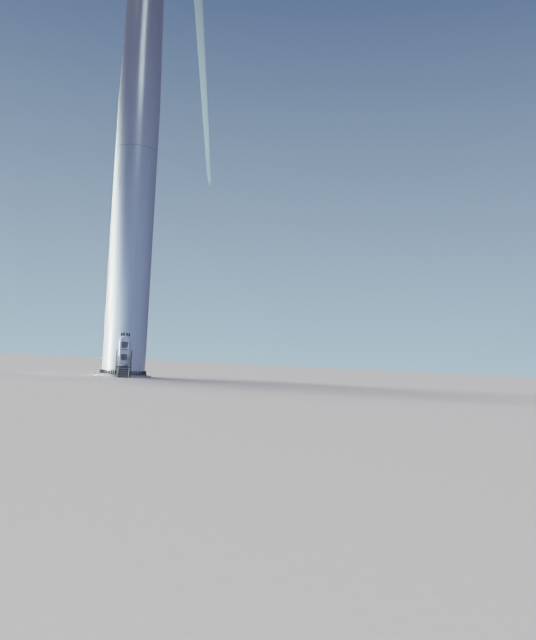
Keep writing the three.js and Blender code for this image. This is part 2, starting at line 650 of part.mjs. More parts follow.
// One closed ring of points across the blade: a circle at the root that becomes an aerofoil, with
// its leading edge towards +X and its suction side towards +Y. The numbers are those of the common
// four-digit thickness curve with a closed trailing edge.
function sectionRing(radius, count) {
  const { change, chord, thickness, twist } = bladeSection(radius);
  const bend = PREBEND * ((radius - BLADE_START) / (TIP_RADIUS - BLADE_START)) ** PREBEND_POWER;
  const points = [];
  for (let i = 0; i < count; i += 1) {
    const angle = 2 * Math.PI * i / count;
    const along = (1 + Math.cos(angle)) / 2;
    const round = Math.sin(angle) / 2;
    const fromNose = 1 - along;
    const profile = 5 * (0.2969 * Math.sqrt(fromNose) - 0.126 * fromNose - 0.3516 * fromNose ** 2
      + 0.2843 * fromNose ** 3 - 0.1015 * fromNose ** 4);
    const camber = CAMBER * fromNose * (1 - fromNose);
    const foil = Math.sign(Math.sin(angle)) * profile * thickness + camber;
    const axis = ROOT_AXIS + (FOIL_AXIS - ROOT_AXIS) * change;
    const x = chord * (along - axis);
    const y = chord * (round * thickness * (1 - change) + foil * change);
    const turn = -twist * change;
    points.push(new THREE.Vector3(x * Math.cos(turn) - y * Math.sin(turn),
      x * Math.sin(turn) + y * Math.cos(turn) - bend, radius));
  }
  return points;
}

function addBlades() {
  const skin = loft(BLADE_STATIONS.map((radius) => sectionRing(radius, 20)));
  for (let i = 0; i < 3; i += 1) {
    const blade = new THREE.Group();
    blade.rotation.set(...bladeAngles(i), PARKED_PITCH);
    rotor.add(blade);
    piece(blade, `blade_${i + 1}`, skin.clone(), bladePaint);
  }
}

addTowerFoot();
addEntryWalls();
addTowerSections();
addDoorway();
addHinges();
addDoor();
addPlatform();
addFlight();
addRailings();
addNacelle();
addRoofEquipment();
addHub();
addSpinner();
addBlades();

turbine.scale.setScalar(MODEL_SCALE * MILLIMETRES);

export default turbine;
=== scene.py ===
import bmesh
import bpy
import numpy as np
from mathutils import Matrix, Vector


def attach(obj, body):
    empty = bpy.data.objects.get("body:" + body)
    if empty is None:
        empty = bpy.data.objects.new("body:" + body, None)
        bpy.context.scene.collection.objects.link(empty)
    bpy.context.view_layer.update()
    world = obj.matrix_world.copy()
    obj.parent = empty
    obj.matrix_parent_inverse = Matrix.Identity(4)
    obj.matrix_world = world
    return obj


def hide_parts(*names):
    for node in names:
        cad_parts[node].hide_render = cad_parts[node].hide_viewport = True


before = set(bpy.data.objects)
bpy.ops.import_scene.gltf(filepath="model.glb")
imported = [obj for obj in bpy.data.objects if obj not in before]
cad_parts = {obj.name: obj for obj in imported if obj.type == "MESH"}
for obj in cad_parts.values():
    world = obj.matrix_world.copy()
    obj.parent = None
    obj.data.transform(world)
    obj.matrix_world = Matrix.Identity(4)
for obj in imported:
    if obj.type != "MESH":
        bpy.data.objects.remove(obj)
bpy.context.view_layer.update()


# Camera: it stands 67.6 m in front of the tower's axis at a person's height, turned a little to the
# right and up, and leans, as in the photograph. Sizes in this file are those of the real turbine, in
# metres, and SCALE brings them to the model.
SCALE = 0.1
EYE = np.array((0.0, -67.55, 1.85))
TURNED, RAISED, LEANING = np.radians((12.30, 3.91, 2.61))
LENS, SENSOR = 36.56, 36.0

ahead = np.array((np.sin(TURNED) * np.cos(RAISED), np.cos(TURNED) * np.cos(RAISED), np.sin(RAISED)))
level = np.array((np.cos(TURNED), -np.sin(TURNED), 0.0))
upright = np.cross(level, ahead)
rightward = level * np.cos(LEANING) + upright * np.sin(LEANING)
upward = upright * np.cos(LEANING) - level * np.sin(LEANING)
stand = np.eye(4)
stand[:3] = np.stack((rightward, upward, -ahead, EYE * SCALE), axis=1)
camera = bpy.data.objects.new("camera", bpy.data.cameras.new("camera"))
bpy.context.scene.collection.objects.link(camera)
camera.data.lens = LENS
camera.data.sensor_width = SENSOR
camera.matrix_world = Matrix(stand.tolist())
bpy.context.scene.camera = camera


# Light: five soft panels on the left, each higher and further back than the one before, so that the
# lit strip on the tower narrows upwards as in the photograph. Others light the nacelle, the blades
# and the tower's foot, a wide lamp overhead lights the floor, and a blue surround fills the shade.
WARM, COOL, AQUA = (0.92, 1.0, 0.91), (0.50, 0.68, 1.0), (0.80, 1.0, 0.84)
# each panel's place, the point it faces, its width and height, its power, spread and colour
PANELS = {
    "key_low": ((-57, -5, 4), (0, 0, 3), (16, 8), 12, 20, WARM),
    "side_low": ((-55, 12, 13), (0, 0, 12), (14, 6), 7, 16, WARM),
    "side_high": ((-50, 24, 20), (0, 0, 19), (14, 8), 7, 16, WARM),
    "rim_middle": ((-41, 38, 26), (0, 0, 24.5), (12, 8), 7, 16, WARM),
    "rim_high": ((-27, 50, 33), (0, 0, 29), (12, 8), 7, 16, WARM),
    "upper_key": ((-80, -60, 125), (0, 0, 95), (40, 40), 70, 44, WARM),
    "back_high": ((45, 90, 135), (0, 0, 55), (50, 50), 60, 100, WARM),
    "gloss_low": ((25, -115, 62), (0, 0, 22), (50, 16), 6, 90, WARM),
    "gloss_middle": ((13, -115, 79), (0, 0, 30), (52, 18), 30, 90, WARM),
    "gloss_high": ((-3, -115, 104), (0, 0, 38), (60, 36), 90, 90, WARM),
    "blade_key": ((70, -80, 20), (6, -1, 26), (24, 16), 30, 38, AQUA),
    "foot_fill": ((12, -100, 9), (0, 0, 7), (20, 10), 23, 44, COOL),
}
NOT_REFLECTED = ("back_high", "blade_key", "foot_fill")
OVERHEAD_POWER, OVERHEAD_WIDTH, OVERHEAD_COLOUR = 1.8, np.radians(20), (1.0, 0.97, 0.80)
OVERHEAD_FACING = (0.18, -0.18, -1.0)
SURROUND, SURROUND_POWER = (0.52, 0.57, 1.0, 1), 0.25
HORIZON, ZENITH, ZENITH_FROM = (0.42, 0.53, 0.60), (0.07, 0.13, 0.27), 0.6
ROLL_OFF = ((0.225, 0.45), (0.30, 0.575), (0.40, 0.69), (0.50, 0.755), (0.75, 0.82), (1.0, 0.84))


class Tone:
    """A number, colour or vector that varies over a surface or a sky: one output of a shader node.
    The operators add Math nodes, in either order with plain numbers, and node() adds any other."""

    def __init__(self, tree, socket=None):
        self.tree = tree
        self.socket = socket

    def node(self, kind, settings, inputs, output=0):
        """Adds a node, sets its settings, then gives its sockets their values or links."""
        made = self.tree.nodes.new("ShaderNode" + kind)
        for key, value in settings.items():
            setattr(made, key, value)
        for key, value in inputs.items():
            if isinstance(value, Tone):
                self.tree.links.new(value.socket, made.inputs[key])
            else:
                made.inputs[key].default_value = value
        return Tone(self.tree, made.outputs[output])

    def math(self, operation, first, second):
        return self.node("Math", {"operation": operation}, {0: first, 1: second})

    def __add__(self, other):
        return self.math("ADD", self, other)

    def __sub__(self, other):
        return self.math("SUBTRACT", self, other)

    def __rsub__(self, other):
        return self.math("SUBTRACT", other, self)

    def __mul__(self, other):
        return self.math("MULTIPLY", self, other)

    __radd__ = __add__
    __rmul__ = __mul__

    def between(self, low, high):
        """0 below low, 1 above high and a smooth rise between them; low may be the larger."""
        inputs = {"Value": self, "From Min": low, "From Max": high}
        return self.node("MapRange", {"interpolation_type": "SMOOTHSTEP"}, inputs)

    def stretched(self, across, upward):
        """The place, with its level and its upright measures scaled for a pattern."""
        return self.node("VectorMath", {"operation": "MULTIPLY"}, {0: self, 1: (across, across, upward)})

    def noise(self, scale, detail=3.0, roughness=0.55):
        """Soft noise from 0 to 1 at this place, with scale patches in a metre."""
        inputs = {"Vector": self, "Scale": scale, "Detail": detail, "Roughness": roughness}
        return self.node("TexNoise", {}, inputs)

    def height(self):
        return self.node("SeparateXYZ", {}, {"Vector": self}, "Z")

    def blend(self, plain, other):
        """One colour where this is 0 and the other where it is 1."""
        full = [(*value, 1) if isinstance(value, tuple) else value for value in (plain, other)]
        return self.node("Mix", {"data_type": "RGBA"}, {0: self, 6: full[0], 7: full[1]}, 2)


def lamp(name, kind, power, colour, facing):
    """A lamp that faces along a direction."""
    made = bpy.data.objects.new(name, bpy.data.lights.new(name, kind))
    bpy.context.scene.collection.objects.link(made)
    made.data.energy = power
    made.data.color = colour
    made.rotation_euler = Vector(facing).to_track_quat("-Z", "Y").to_euler()
    return made


# three panels high up behind the camera make the glossy paint's soft highlight and light nothing else
for name, (place, aim, size, power, spread, colour) in PANELS.items():
    panel = lamp(name, "AREA", power, colour, np.subtract(aim, place).tolist())
    panel.location = Vector(place) * SCALE
    panel.data.shape = "RECTANGLE"
    panel.data.size, panel.data.size_y = (side * SCALE for side in size)
    panel.data.spread = np.radians(spread)
    panel.visible_glossy = name not in NOT_REFLECTED
    panel.visible_diffuse = not name.startswith("gloss")
overhead = lamp("overhead", "SUN", OVERHEAD_POWER, OVERHEAD_COLOUR, OVERHEAD_FACING)
overhead.data.angle = OVERHEAD_WIDTH

# the surround is one even blue, and a pale to deep blue backdrop stands in for it behind the turbine
world = bpy.data.worlds.new("surround")
world.use_nodes = True
surround = world.node_tree.nodes["Background"]
surround.inputs["Color"].default_value = SURROUND
surround.inputs["Strength"].default_value = SURROUND_POWER
sky = Tone(world.node_tree)
sky_height = sky.node("TexCoord", {}, {}, "Generated").height()
towards_zenith = sky.node("MapRange", {}, {"Value": sky_height, "From Max": ZENITH_FROM})
tint = towards_zenith.blend(HORIZON, ZENITH)
backdrop = sky.node("Background", {}, {"Color": tint})
seen = sky.node("LightPath", {}, {}, "Is Camera Ray")
shown = sky.node("MixShader", {}, {0: seen, 1: Tone(sky.tree, surround.outputs[0]), 2: backdrop})
sky.tree.links.new(shown.socket, sky.tree.nodes["World Output"].inputs[0])
bpy.context.scene.world = world

# the picture keeps its darks and middle tones, and its highlights roll off softly, as on film
view = bpy.context.scene.view_settings
view.view_transform = "Standard"
view.use_curve_mapping = True
view.curve_mapping.white_level = (2.0, 2.0, 2.0)
tone_curve = view.curve_mapping.curves[3]
tone_curve.points[0].location = (0.0, 0.0)
tone_curve.points[1].location = ROLL_OFF[-1]
for spot in ROLL_OFF[:-1]:
    tone_curve.points.new(*spot)
view.curve_mapping.update()


# Floor: a plain pale studio floor at ground level, with a faint fine grain. Only the lamp overhead
# and the surround light it, so that no panel leaves a bright patch there.
FLOOR_REACH = 1500.0
BLADE_LAMP = ["blade_key"]


def grid(points, around=False, along=False):
    """Faces between neighbours in a grid of points (rows, columns, 3); a closed direction runs back
    to its start, around along each row and along from the last row to the first."""
    rows, columns = points.shape[:2]
    i, j = np.meshgrid(np.arange(rows - (not along)), np.arange(columns - (not around)), indexing="ij")
    k, n = (i + 1) % rows, (j + 1) % columns
    faces = np.stack((i * columns + j, i * columns + n, k * columns + n, k * columns + j), axis=-1)
    return points.reshape(-1, 3), faces.reshape(-1, 4)


def joined(parts):
    """The points and faces of several parts as one part."""
    firsts = np.cumsum([0] + [len(points) for points, _ in parts[:-1]])
    return (
        np.concatenate([points for points, _ in parts]),
        np.concatenate([faces + first for (_, faces), first in zip(parts, firsts)]),
    )


def mesh_piece(name, parts, material, sharp=32, marks=None, outward=True):
    """An object at the origin whose mesh holds the parts at the model's scale. Points that meet are
    welded, closed forms are turned to face outwards, and bends over the sharp angle stay crisp.
    marks are named numbers, one for each point, that the material reads."""
    points, faces = joined(parts)
    mesh = bpy.data.meshes.new(name)
    mesh.vertices.add(len(points))
    mesh.vertices.foreach_set("co", (points * SCALE).astype(np.float32).ravel())
    mesh.loops.add(faces.size)
    mesh.loops.foreach_set("vertex_index", faces.astype(np.int32).ravel())
    mesh.polygons.add(len(faces))
    mesh.polygons.foreach_set("loop_start", np.arange(0, faces.size, 4, dtype=np.int32))
    for mark, values in (marks or {}).items():
        attribute = mesh.attributes.new(mark, "FLOAT", "POINT")
        attribute.data.foreach_set("value", values.astype(np.float32).ravel())
    mesh.update(calc_edges=True)
    work = bmesh.new()
    work.from_mesh(mesh)
    bmesh.ops.remove_doubles(work, verts=work.verts, dist=2e-6)
    bmesh.ops.dissolve_degenerate(work, edges=work.edges, dist=1e-7)
    if outward:
        bmesh.ops.recalc_face_normals(work, faces=work.faces)
    work.to_mesh(mesh)
    work.free()
    mesh.shade_smooth()
    mesh.set_sharp_from_angle(angle=np.radians(sharp))
    mesh.materials.append(material)
    made = bpy.data.objects.new(name, mesh)
    bpy.context.scene.collection.objects.link(made)
    return made


def finish(name, design, **even):
    """A material: design(place) gives what varies over the surface, from the place in real metres,
    with Relief as a height in metres, and even gives the sockets that are the same all over."""
    made = bpy.data.materials.new(name)
    made.use_nodes = True
    tree = made.node_tree
    shader = tree.nodes["Principled BSDF"]
    for key, value in even.items():
        shader.inputs[key.replace("_", " ")].default_value = value
    spot = Tone(tree).node("TexCoord", {}, {}, "Object")
    place = spot.node("VectorMath", {"operation": "SCALE"}, {0: spot, "Scale": 1 / SCALE})
    varied = design(place)
    if "Relief" in varied:
        height = {"Height": varied.pop("Relief"), "Distance": SCALE, "Strength": 1.0}
        varied["Normal"] = place.node("Bump", {}, height)
    for key, tone in varied.items():
        tree.links.new(tone.socket, shader.inputs[key])
    return made


def lit_by(lamps, state, *pieces):
    """Lamps that light all but these pieces, with the state EXCLUDE, or only them, with INCLUDE."""
    for name in lamps:
        linking = bpy.data.objects[name].light_linking
        receivers = linking.receiver_collection or bpy.data.collections.new(name + "_receivers")
        linking.receiver_collection = receivers
        for lit in pieces:
            receivers.objects.link(lit)
            receivers.collection_objects[-1].light_linking.link_state = state


def floor_paint(place):
    """Matt off-white paint with a faint grain."""
    return {"Base Color": place.noise(6.0, 4.0).blend((0.76, 0.76, 0.75), (0.80, 0.80, 0.79))}


steps = np.linspace(-FLOOR_REACH, FLOOR_REACH, 9)
floor_points = np.stack(np.meshgrid(steps, steps, indexing="xy") + [np.zeros((9, 9))], axis=-1)
floor_matt = finish("floor_paint", floor_paint, Roughness=0.7)
floor = mesh_piece("studio_floor", [grid(floor_points)], floor_matt, outward=False)
floor.visible_diffuse = False
lit_by([name for name in PANELS if name not in BLADE_LAMP], "EXCLUDE", floor)


# Plinth: the part of the round concrete foundation that stands above the ground, cast with a rounded
# edge. It holds the galvanised anchor bolts, whose nuts lie on the tower's base flange, with a cap
# of dark plastic over each one.
PLINTH_RADIUS, PLINTH_TOP, PLINTH_EDGE = 2.8, 0.12, 0.03
FLANGE_TOP = 0.25
BOLTS, BOLT_CIRCLE = 72, 2.255


def turned(profile, segments, first=0.0, ring=False):
    """A (radius, height) profile turned about +Z: point (i, j) stands at profile i and angle j. A
    ring's profile is closed on itself; another is closed where it starts and ends at radius 0."""
    profile = np.asarray(profile, float)
    angle = np.radians(first) + np.arange(segments) * 2 * np.pi / segments
    radius, height = profile[:, :1], profile[:, 1:]
    points = np.stack((radius * np.cos(angle), radius * np.sin(angle), height + 0 * angle), axis=-1)
    return grid(points, around=True, along=ring)


def copies(part, origins, axes=None):
    """The part once at each origin, turned there by that place's 3 by 3 matrix."""
    points, faces = part
    origins = np.asarray(origins, float)
    axes = np.broadcast_to(np.eye(3) if axes is None else axes, (len(origins), 3, 3))
    moved = np.einsum("kij,nj->kni", axes, points) + origins[:, None]
    shifted = faces + len(points) * np.arange(len(origins))[:, None, None]
    return moved.reshape(-1, 3), shifted.reshape(-1, 4)


def around_z(angles):
    """The 3 by 3 matrices that turn about +Z by angles in radians."""
    c, s, o = np.cos(angles), np.sin(angles), np.zeros_like(angles)
    return np.stack((c, -s, o, s, c, o, o, o, o + 1), axis=-1).reshape(-1, 3, 3)


def circle_of(count, radius, height):
    """Evenly spaced places on a level circle, and their angles."""
    angles = np.arange(count) * 2 * np.pi / count
    places = np.stack((radius * np.cos(angles), radius * np.sin(angles), angles * 0 + height), axis=-1)
    return places, angles


def fitted(name, parts, material, body, slot, *nodes, **how):
    """A mesh piece that rides on a body, with the given material, and stands for the CAD nodes that
    are named. The slot is not used."""
    made = mesh_piece(name, parts, material, **how)
    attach(made, body)
    if nodes:
        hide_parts(*nodes)
    return made


def concrete(place):
    """Cloudy grey concrete with fine grain and pores, darker in patches near the ground: damp, and painted
    shade at the plinth's foot.
    """
    cloudy = place.noise(1.1, 5.0)
    grain = place.noise(28.0, 4.0, 0.7)
    pores = place.noise(60.0, 2.0).between(0.66, 0.74)
    damp_and_shade = place.height().between(0.10, 0.0) * place.noise(2.5, 3.0).between(0.35, 0.65)
    bare = (cloudy * 0.6 + grain * 0.4).blend((0.40, 0.39, 0.37), (0.62, 0.61, 0.58))
    return {
        "Base Color": (damp_and_shade * 0.55 + pores * 0.35).blend(bare, (0.20, 0.20, 0.18)),
        "Relief": grain * 0.004 - pores * 0.004,
    }


def zinc(place, dark=(0.36, 0.39, 0.42), light=(0.60, 0.63, 0.66), pale=(0.68, 0.70, 0.70)):
    """Hot-dip galvanised steel: grey spangle, dulled in patches, with a little pale bloom."""
    flakes = place.node("TexVoronoi", {"feature": "F1"}, {"Vector": place, "Scale": 32.0}, "Color")
    shade = flakes.node("SeparateColor", {}, {"Color": flakes})
    dull = place.noise(1.7, 4.0)
    bloom = place.stretched(7, 1.2).noise(1.0, 4.0).between(0.55, 0.8)
    grey = (shade * 0.55 + dull * 0.45).blend(dark, light)
    return {
        "Base Color": (bloom * 0.35).blend(grey, pale),
        "Roughness": 0.36 + shade * 0.16 + dull * 0.16,
        "Metallic": 0.70 - bloom * 0.3,
    }


def dark_plastic_and_shade(place):
    """Black plastic or rubber, greyed by dust; on the riser screens, the strip under the rain hood and the
    vent's blades and back it is painted shade.
    """
    dust = place.noise(9.0, 4.0)
    black = dust.blend((0.030, 0.032, 0.036), (0.075, 0.078, 0.082))
    return {"Base Color": black, "Roughness": 0.45 + dust * 0.2}


galvanised = finish("galvanised_steel", zinc)
black_plastic_and_shade = finish("black_plastic_and_shade", dark_plastic_and_shade)

bend = np.radians(np.linspace(0, 90, 6))
edge_radii = PLINTH_RADIUS - PLINTH_EDGE + PLINTH_EDGE * np.cos(bend)
edge_heights = PLINTH_TOP - PLINTH_EDGE + PLINTH_EDGE * np.sin(bend)
plinth_profile = [
    (0, 0), (PLINTH_RADIUS - 0.006, 0), (PLINTH_RADIUS, 0.006), *zip(edge_radii, edge_heights),
    (2.5, PLINTH_TOP), (0, PLINTH_TOP),
]
cast_concrete = finish("cast_concrete", concrete, Roughness=0.88)
plinth = turned(plinth_profile, 144)
fitted("concrete_plinth", [plinth], cast_concrete, "tower", "concrete", "foundation_plinth")

washer = turned([(0, 0), (0.052, 0), (0.052, 0.008), (0, 0.008)], 12)
nut = turned([(0, 0.008), (0.047, 0.008), (0.047, 0.048), (0.040, 0.053), (0, 0.053)], 6)
shank = turned([(0, 0.05), (0.021, 0.05), (0.021, 0.085), (0, 0.085)], 8)
cap = turned([
    (0, 0.012), (0.054, 0.012), (0.054, 0.085), (0.042, 0.100), (0.040, 0.335), (0.028, 0.355), (0, 0.360),
], 10)
seats, bolt_angles = circle_of(BOLTS, BOLT_CIRCLE, FLANGE_TOP)
bolts = copies(joined([washer, nut, shank]), seats, around_z(bolt_angles))
fitted("anchor_bolts", [bolts], galvanised, "tower", "galvanised")
fitted("bolt_caps", [copies(cap, seats)], black_plastic_and_shade, "tower", "louvre")


# Tower: three sections of rolled steel cans, welded ring to ring and down one side, and painted a
# pale semi-gloss grey. They are bolted together inside, so that outside only a thin sealed groove
# shows. The lowest can stands on the base flange and has the door's round-ended hole.
LOWER_JOINT, UPPER_JOINT, TOWER_TOP = 23.25, 49.0, 77.6
TAPER_FROM = 27.7
FOOT_RADIUS, JOINT_RADIUS, TOP_RADIUS = 2.15, 1.68, 1.28
FLANGE_INNER, FLANGE_OUTER = 1.93, 2.36
ENTRY_TOP = 4.5
JOINT_GAP, ROUND_HEIGHT, ROUND_DEPTH = 0.014, 0.004, 0.006
LOWER_SPAN = (ENTRY_TOP, LOWER_JOINT - JOINT_GAP)
MIDDLE_SPAN = (LOWER_JOINT + JOINT_GAP, UPPER_JOINT - JOINT_GAP)
UPPER_SPAN = (UPPER_JOINT + JOINT_GAP, TOWER_TOP)
LOWER_CANS, MIDDLE_CANS, UPPER_CANS = 7, 9, 10
LOWER_WALL, MIDDLE_WALL, UPPER_WALL = 0.032, 0.026, 0.020
# a ring weld's low bead, with a flat row on each side that keeps its bend to itself
BEAD_OFFSETS = np.array((-0.060, -0.028, -0.014, 0.0, 0.014, 0.028, 0.060))
BEAD_RISES = np.array((0, 0, 0.0016, 0.0022, 0.0016, 0, 0))
SEAM_TURN = 137.5
COLUMNS = 128
# rows of squares beside the door, and how many columns on each side of it give way to the hole
DOOR_ROWS, DOOR_REACH = 14, 9
DOOR_HALF, DOOR_SILL, DOOR_HEAD, CUT_MARGIN = 0.425, 1.15, 3.87, 0.036


def tower_radius(height):
    """The outer radius: even up to where the taper starts, then straight to the joint and the top."""
    heights = (FLANGE_TOP, TAPER_FROM, UPPER_JOINT, TOWER_TOP)
    return np.interp(height, heights, (FOOT_RADIUS, FOOT_RADIUS, JOINT_RADIUS, TOP_RADIUS))


def weld_rows(bottom, top, cans):
    """Heights and added radius from bottom to top, with a low rounded bead at each ring weld."""
    edges = np.linspace(bottom, top, cans + 1)
    welds, middles = edges[1:-1], (edges[1:] + edges[:-1]) / 2
    heights = np.concatenate(((welds[:, None] + BEAD_OFFSETS).ravel(), middles))
    rises = np.concatenate((np.tile(BEAD_RISES, len(welds)), middles * 0))
    order = np.argsort(heights)
    return heights[order], rises[order]


def tube(bottom, top, cans, wall):
    """A closed tower section: its outside from bottom to top, then its inside back down, with the
    two edges at the joints rounded off."""
    heights, rises = weld_rows(bottom, top, cans)
    outer = np.concatenate(([bottom, bottom + ROUND_HEIGHT], heights, [top - ROUND_HEIGHT, top]))
    proud = np.concatenate(([-ROUND_DEPTH, 0], rises, [0, -ROUND_DEPTH]))
    inner = np.linspace(top, bottom, 12)
    radius = np.concatenate((tower_radius(outer) + proud, tower_radius(inner) - wall))
    return turned(np.stack((radius, np.concatenate((outer, inner))), axis=-1), COLUMNS, ring=True)


def capped(points, ends=None):
    """The rows of points with one more at each end, drawn together into one place: the one given for
    that end, or the end's middle."""
    ends = points[[0, -1]].mean(axis=1) if ends is None else np.asarray(ends, float)
    rows = np.repeat(ends[:, None], points.shape[1], axis=1)
    return np.concatenate((rows[:1], points, rows[1:]))


def seam_welds(bottom, top, cans, turn):
    """One upright bead on each can, a share of a turn further round on each can above."""
    edges = np.linspace(bottom, top, cans + 1)
    heights = edges[:-1, None] + (edges[1:] - edges[:-1])[:, None] * np.linspace(0.02, 0.98, 3)
    across = np.array((-0.016, -0.007, 0.007, 0.016))
    angle = np.radians(turn + SEAM_TURN * np.arange(cans))[:, None, None]
    radius = tower_radius(heights)[:, :, None] + np.array((-0.004, 0.0045, 0.0045, -0.004))
    bend = angle + across / radius
    level_of = heights[:, :, None] + 0 * radius
    points = np.stack((radius * np.cos(bend), radius * np.sin(bend), level_of), axis=-1)
    return joined([grid(capped(points[can]), around=True) for can in range(cans)])


def stadium(half, bottom, top, spots):
    """A round-ended upright outline in X and Z from its lowest point round by +X, at shares 0 to 1
    of its length: the places and the directions outwards."""
    straight = top - bottom - 2 * half
    quarter = half * np.pi / 2
    run = np.asarray(spots) * (2 * straight + 4 * quarter)
    run = np.where(run > straight + 2 * quarter, 2 * straight + 4 * quarter - run, run)
    mirrored = np.where(np.asarray(spots) > 0.5, -1, 1)
    upper_turn = np.where(run < quarter + straight, np.pi / 2, (run - straight) / half)
    angle = np.where(run < quarter, run / half, upper_turn)
    away = np.stack((np.sin(angle) * mirrored, -np.cos(angle)), axis=-1)
    centre = bottom + half + np.clip(run - quarter, 0, straight)
    return np.stack((away[:, 0] * half, centre + away[:, 1] * half), axis=-1), away


def tower_paint(place):
    """Pale grey paint with soft clouds, rain streaks and fine runs, splashed soil at the foot and a
    dirty edge under the lower joint."""
    height = place.height()
    cloud = place.stretched(0.5, 0.22).noise(1.0, 4.0)
    streak = place.stretched(5.5, 0.10).noise(1.0, 5.0, 0.65).between(0.52, 0.78)
    fine = place.stretched(16.0, 0.5).noise(1.0, 4.0).between(0.55, 0.85)
    foot = height.between(2.6, 0.2) * place.stretched(3, 1.5).noise(1.0, 4.0).between(0.3, 0.7)
    under = height.between(LOWER_JOINT - 2.4, LOWER_JOINT) * height.between(LOWER_JOINT + 0.02, LOWER_JOINT)
    dirt = streak * 0.16 + fine * 0.07 + foot * 0.30 + under * streak * 0.35
    clean = cloud.blend((0.54, 0.57, 0.565), (0.61, 0.64, 0.63))
    return {
        "Base Color": dirt.blend(clean, (0.30, 0.31, 0.29)),
        "Roughness": 0.30 + cloud * 0.08 + dirt * 0.35,
        "Relief": place.noise(0.8, 2.0) * 0.010 + place.noise(70.0, 2.0) * 0.0006,
    }


def flange_shade_paint(place):
    """The tower's paint on the flange, darkened and mottled: painted shade at the tower's foot, with some
    splashed soil.
    """
    shade_mottle = place.noise(3.0, 5.0)
    grey = shade_mottle.blend((0.19, 0.195, 0.19), (0.38, 0.39, 0.375))
    return {"Base Color": grey, "Roughness": 0.5 + shade_mottle * 0.2}


tower_gloss = {"Specular_IOR_Level": 0.5, "Coat_Weight": 0.9, "Coat_Roughness": 0.14}
tower_grey = finish("tower_paint", tower_paint, **tower_gloss)

# the bottom section is one shell with the door's hole in it: a patch of its squares is left out, and
# rows that pass from the round-ended hole to the patch's border fill the gap
beads, bead_rises = weld_rows(*LOWER_SPAN, LOWER_CANS)
shell_heights = np.concatenate((
    [FLANGE_TOP, 0.5], np.linspace(0.8, 4.22, DOOR_ROWS), ENTRY_TOP + BEAD_OFFSETS, beads,
    [LOWER_SPAN[1] - ROUND_HEIGHT, LOWER_SPAN[1]],
))
shell_proud = np.concatenate((np.zeros(DOOR_ROWS + 2), BEAD_RISES, bead_rises, (0, -ROUND_DEPTH)))
shell_profile = np.stack((tower_radius(shell_heights) + shell_proud, shell_heights), axis=-1)
shell, shell_faces = turned(shell_profile, COLUMNS, first=90)
middle, reach, low, high = COLUMNS // 2, DOOR_REACH, 2, DOOR_ROWS + 1
row, column = np.divmod(np.arange(len(shell_faces)), COLUMNS)
patch = (row >= low) & (row < high) & (column >= middle - reach) & (column < middle + reach)
upwards = np.arange(low, high)
border = middle + np.concatenate((
    low * COLUMNS + np.arange(0, reach), upwards * COLUMNS + reach,
    high * COLUMNS + np.arange(reach, -reach, -1), upwards[::-1] * COLUMNS + COLUMNS - reach,
    low * COLUMNS + np.arange(-reach, 0),
))
rim = shell[border]
lengths = np.linalg.norm(np.diff(rim, axis=0, append=rim[:1])[:, [0, 2]], axis=-1)
spots = np.concatenate(([0], np.cumsum(lengths)[:-1])) / lengths.sum()
hole, _ = stadium(DOOR_HALF + CUT_MARGIN, DOOR_SILL - CUT_MARGIN, DOOR_HEAD + CUT_MARGIN, spots)
share = np.linspace(0, 1, 7)[:, None, None]
level_points = hole * (1 - share) + rim[:, [0, 2]] * share
depth = -np.sqrt(FOOT_RADIUS**2 - level_points[..., 0] ** 2)
round_hole = grid(np.stack((level_points[..., 0], depth, level_points[..., 1]), axis=-1), around=True)
lower = fitted(
    "tower_lower_section", [(shell, shell_faces[~patch]), round_hole], tower_grey, "tower", "tower_paint",
    "entry_wall_front", "entry_wall_right", "entry_wall_back", "entry_wall_left", "tower_bottom_section",
)
wall = lower.modifiers.new("wall", "SOLIDIFY")
wall.thickness = LOWER_WALL * SCALE
wall.offset = -1.0

flange = turned([
    (FLANGE_INNER, 0.13), (FLANGE_OUTER - 0.008, 0.13), (FLANGE_OUTER, 0.14), (FLANGE_OUTER, 0.24),
    (FLANGE_OUTER - 0.01, FLANGE_TOP), (2.19, FLANGE_TOP), (2.158, 0.28), (FOOT_RADIUS, 0.31), (2.10, 0.31),
    (2.10, FLANGE_TOP), (FLANGE_INNER, FLANGE_TOP),
], 144, ring=True)
# the flange's dark grey is painted shade at the tower's foot
flange_shaded_grey = finish("flange_shade_paint", flange_shade_paint)
fitted("base_flange_ring", [flange], flange_shaded_grey, "tower", "tower_paint", "base_flange")
middle_tube = tube(*MIDDLE_SPAN, MIDDLE_CANS, MIDDLE_WALL)
fitted("tower_middle", [middle_tube], tower_grey, "tower", "tower_paint", "tower_middle_section")
upper_tube = tube(*UPPER_SPAN, UPPER_CANS, UPPER_WALL)
fitted("tower_upper", [upper_tube], tower_grey, "tower", "tower_paint", "tower_top_section")
fitted("seam_welds", [
    seam_welds(*LOWER_SPAN, LOWER_CANS, 60), seam_welds(*MIDDLE_SPAN, MIDDLE_CANS, 140),
    seam_welds(*UPPER_SPAN, UPPER_CANS, 20),
], tower_grey, "tower", "tower_paint")
seal_profile = np.array(((-0.030, -0.02), (-0.012, -0.02), (-0.009, 0), (-0.012, 0.02), (-0.030, 0.02)))
fitted("joint_seals", [
    turned(seal_profile + joint, COLUMNS, ring=True)
    for joint in ((FOOT_RADIUS, LOWER_JOINT), (JOINT_RADIUS, UPPER_JOINT))
], black_plastic_and_shade, "tower", "louvre")


# Doorway: a thick steel collar welded into the wall and rounded off in front, with a weld bead round
# it on the tower's skin. Inside it lies the entry floor of chequered plate.
FRAME_WIDTH, FRAME_FRONT, FRAME_BACK = 0.072, -2.26, -2.03
OUTLINE_SPOTS = np.arange(120) / 120


def along_outline(outline, profile, ring=True):
    """An (outwards, depth) profile carried round an upright outline of places and directions, with
    depth along Y. A ring's profile is closed on itself; another starts and ends in the middle."""
    (places, away), profile = outline, np.asarray(profile, float)
    spread = places[:, None] + away[:, None] * profile[:, :1]
    points = np.stack((spread[..., 0], profile[:, 1] + 0 * spread[..., 0], spread[..., 1]), axis=-1)
    return grid(points, around=True, along=True) if ring else grid(points.transpose(1, 0, 2), around=True)


def coated(material, *nodes):
    """Gives CAD nodes that stay in view a finish."""
    for node in nodes:
        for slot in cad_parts[node].material_slots:
            slot.material = material


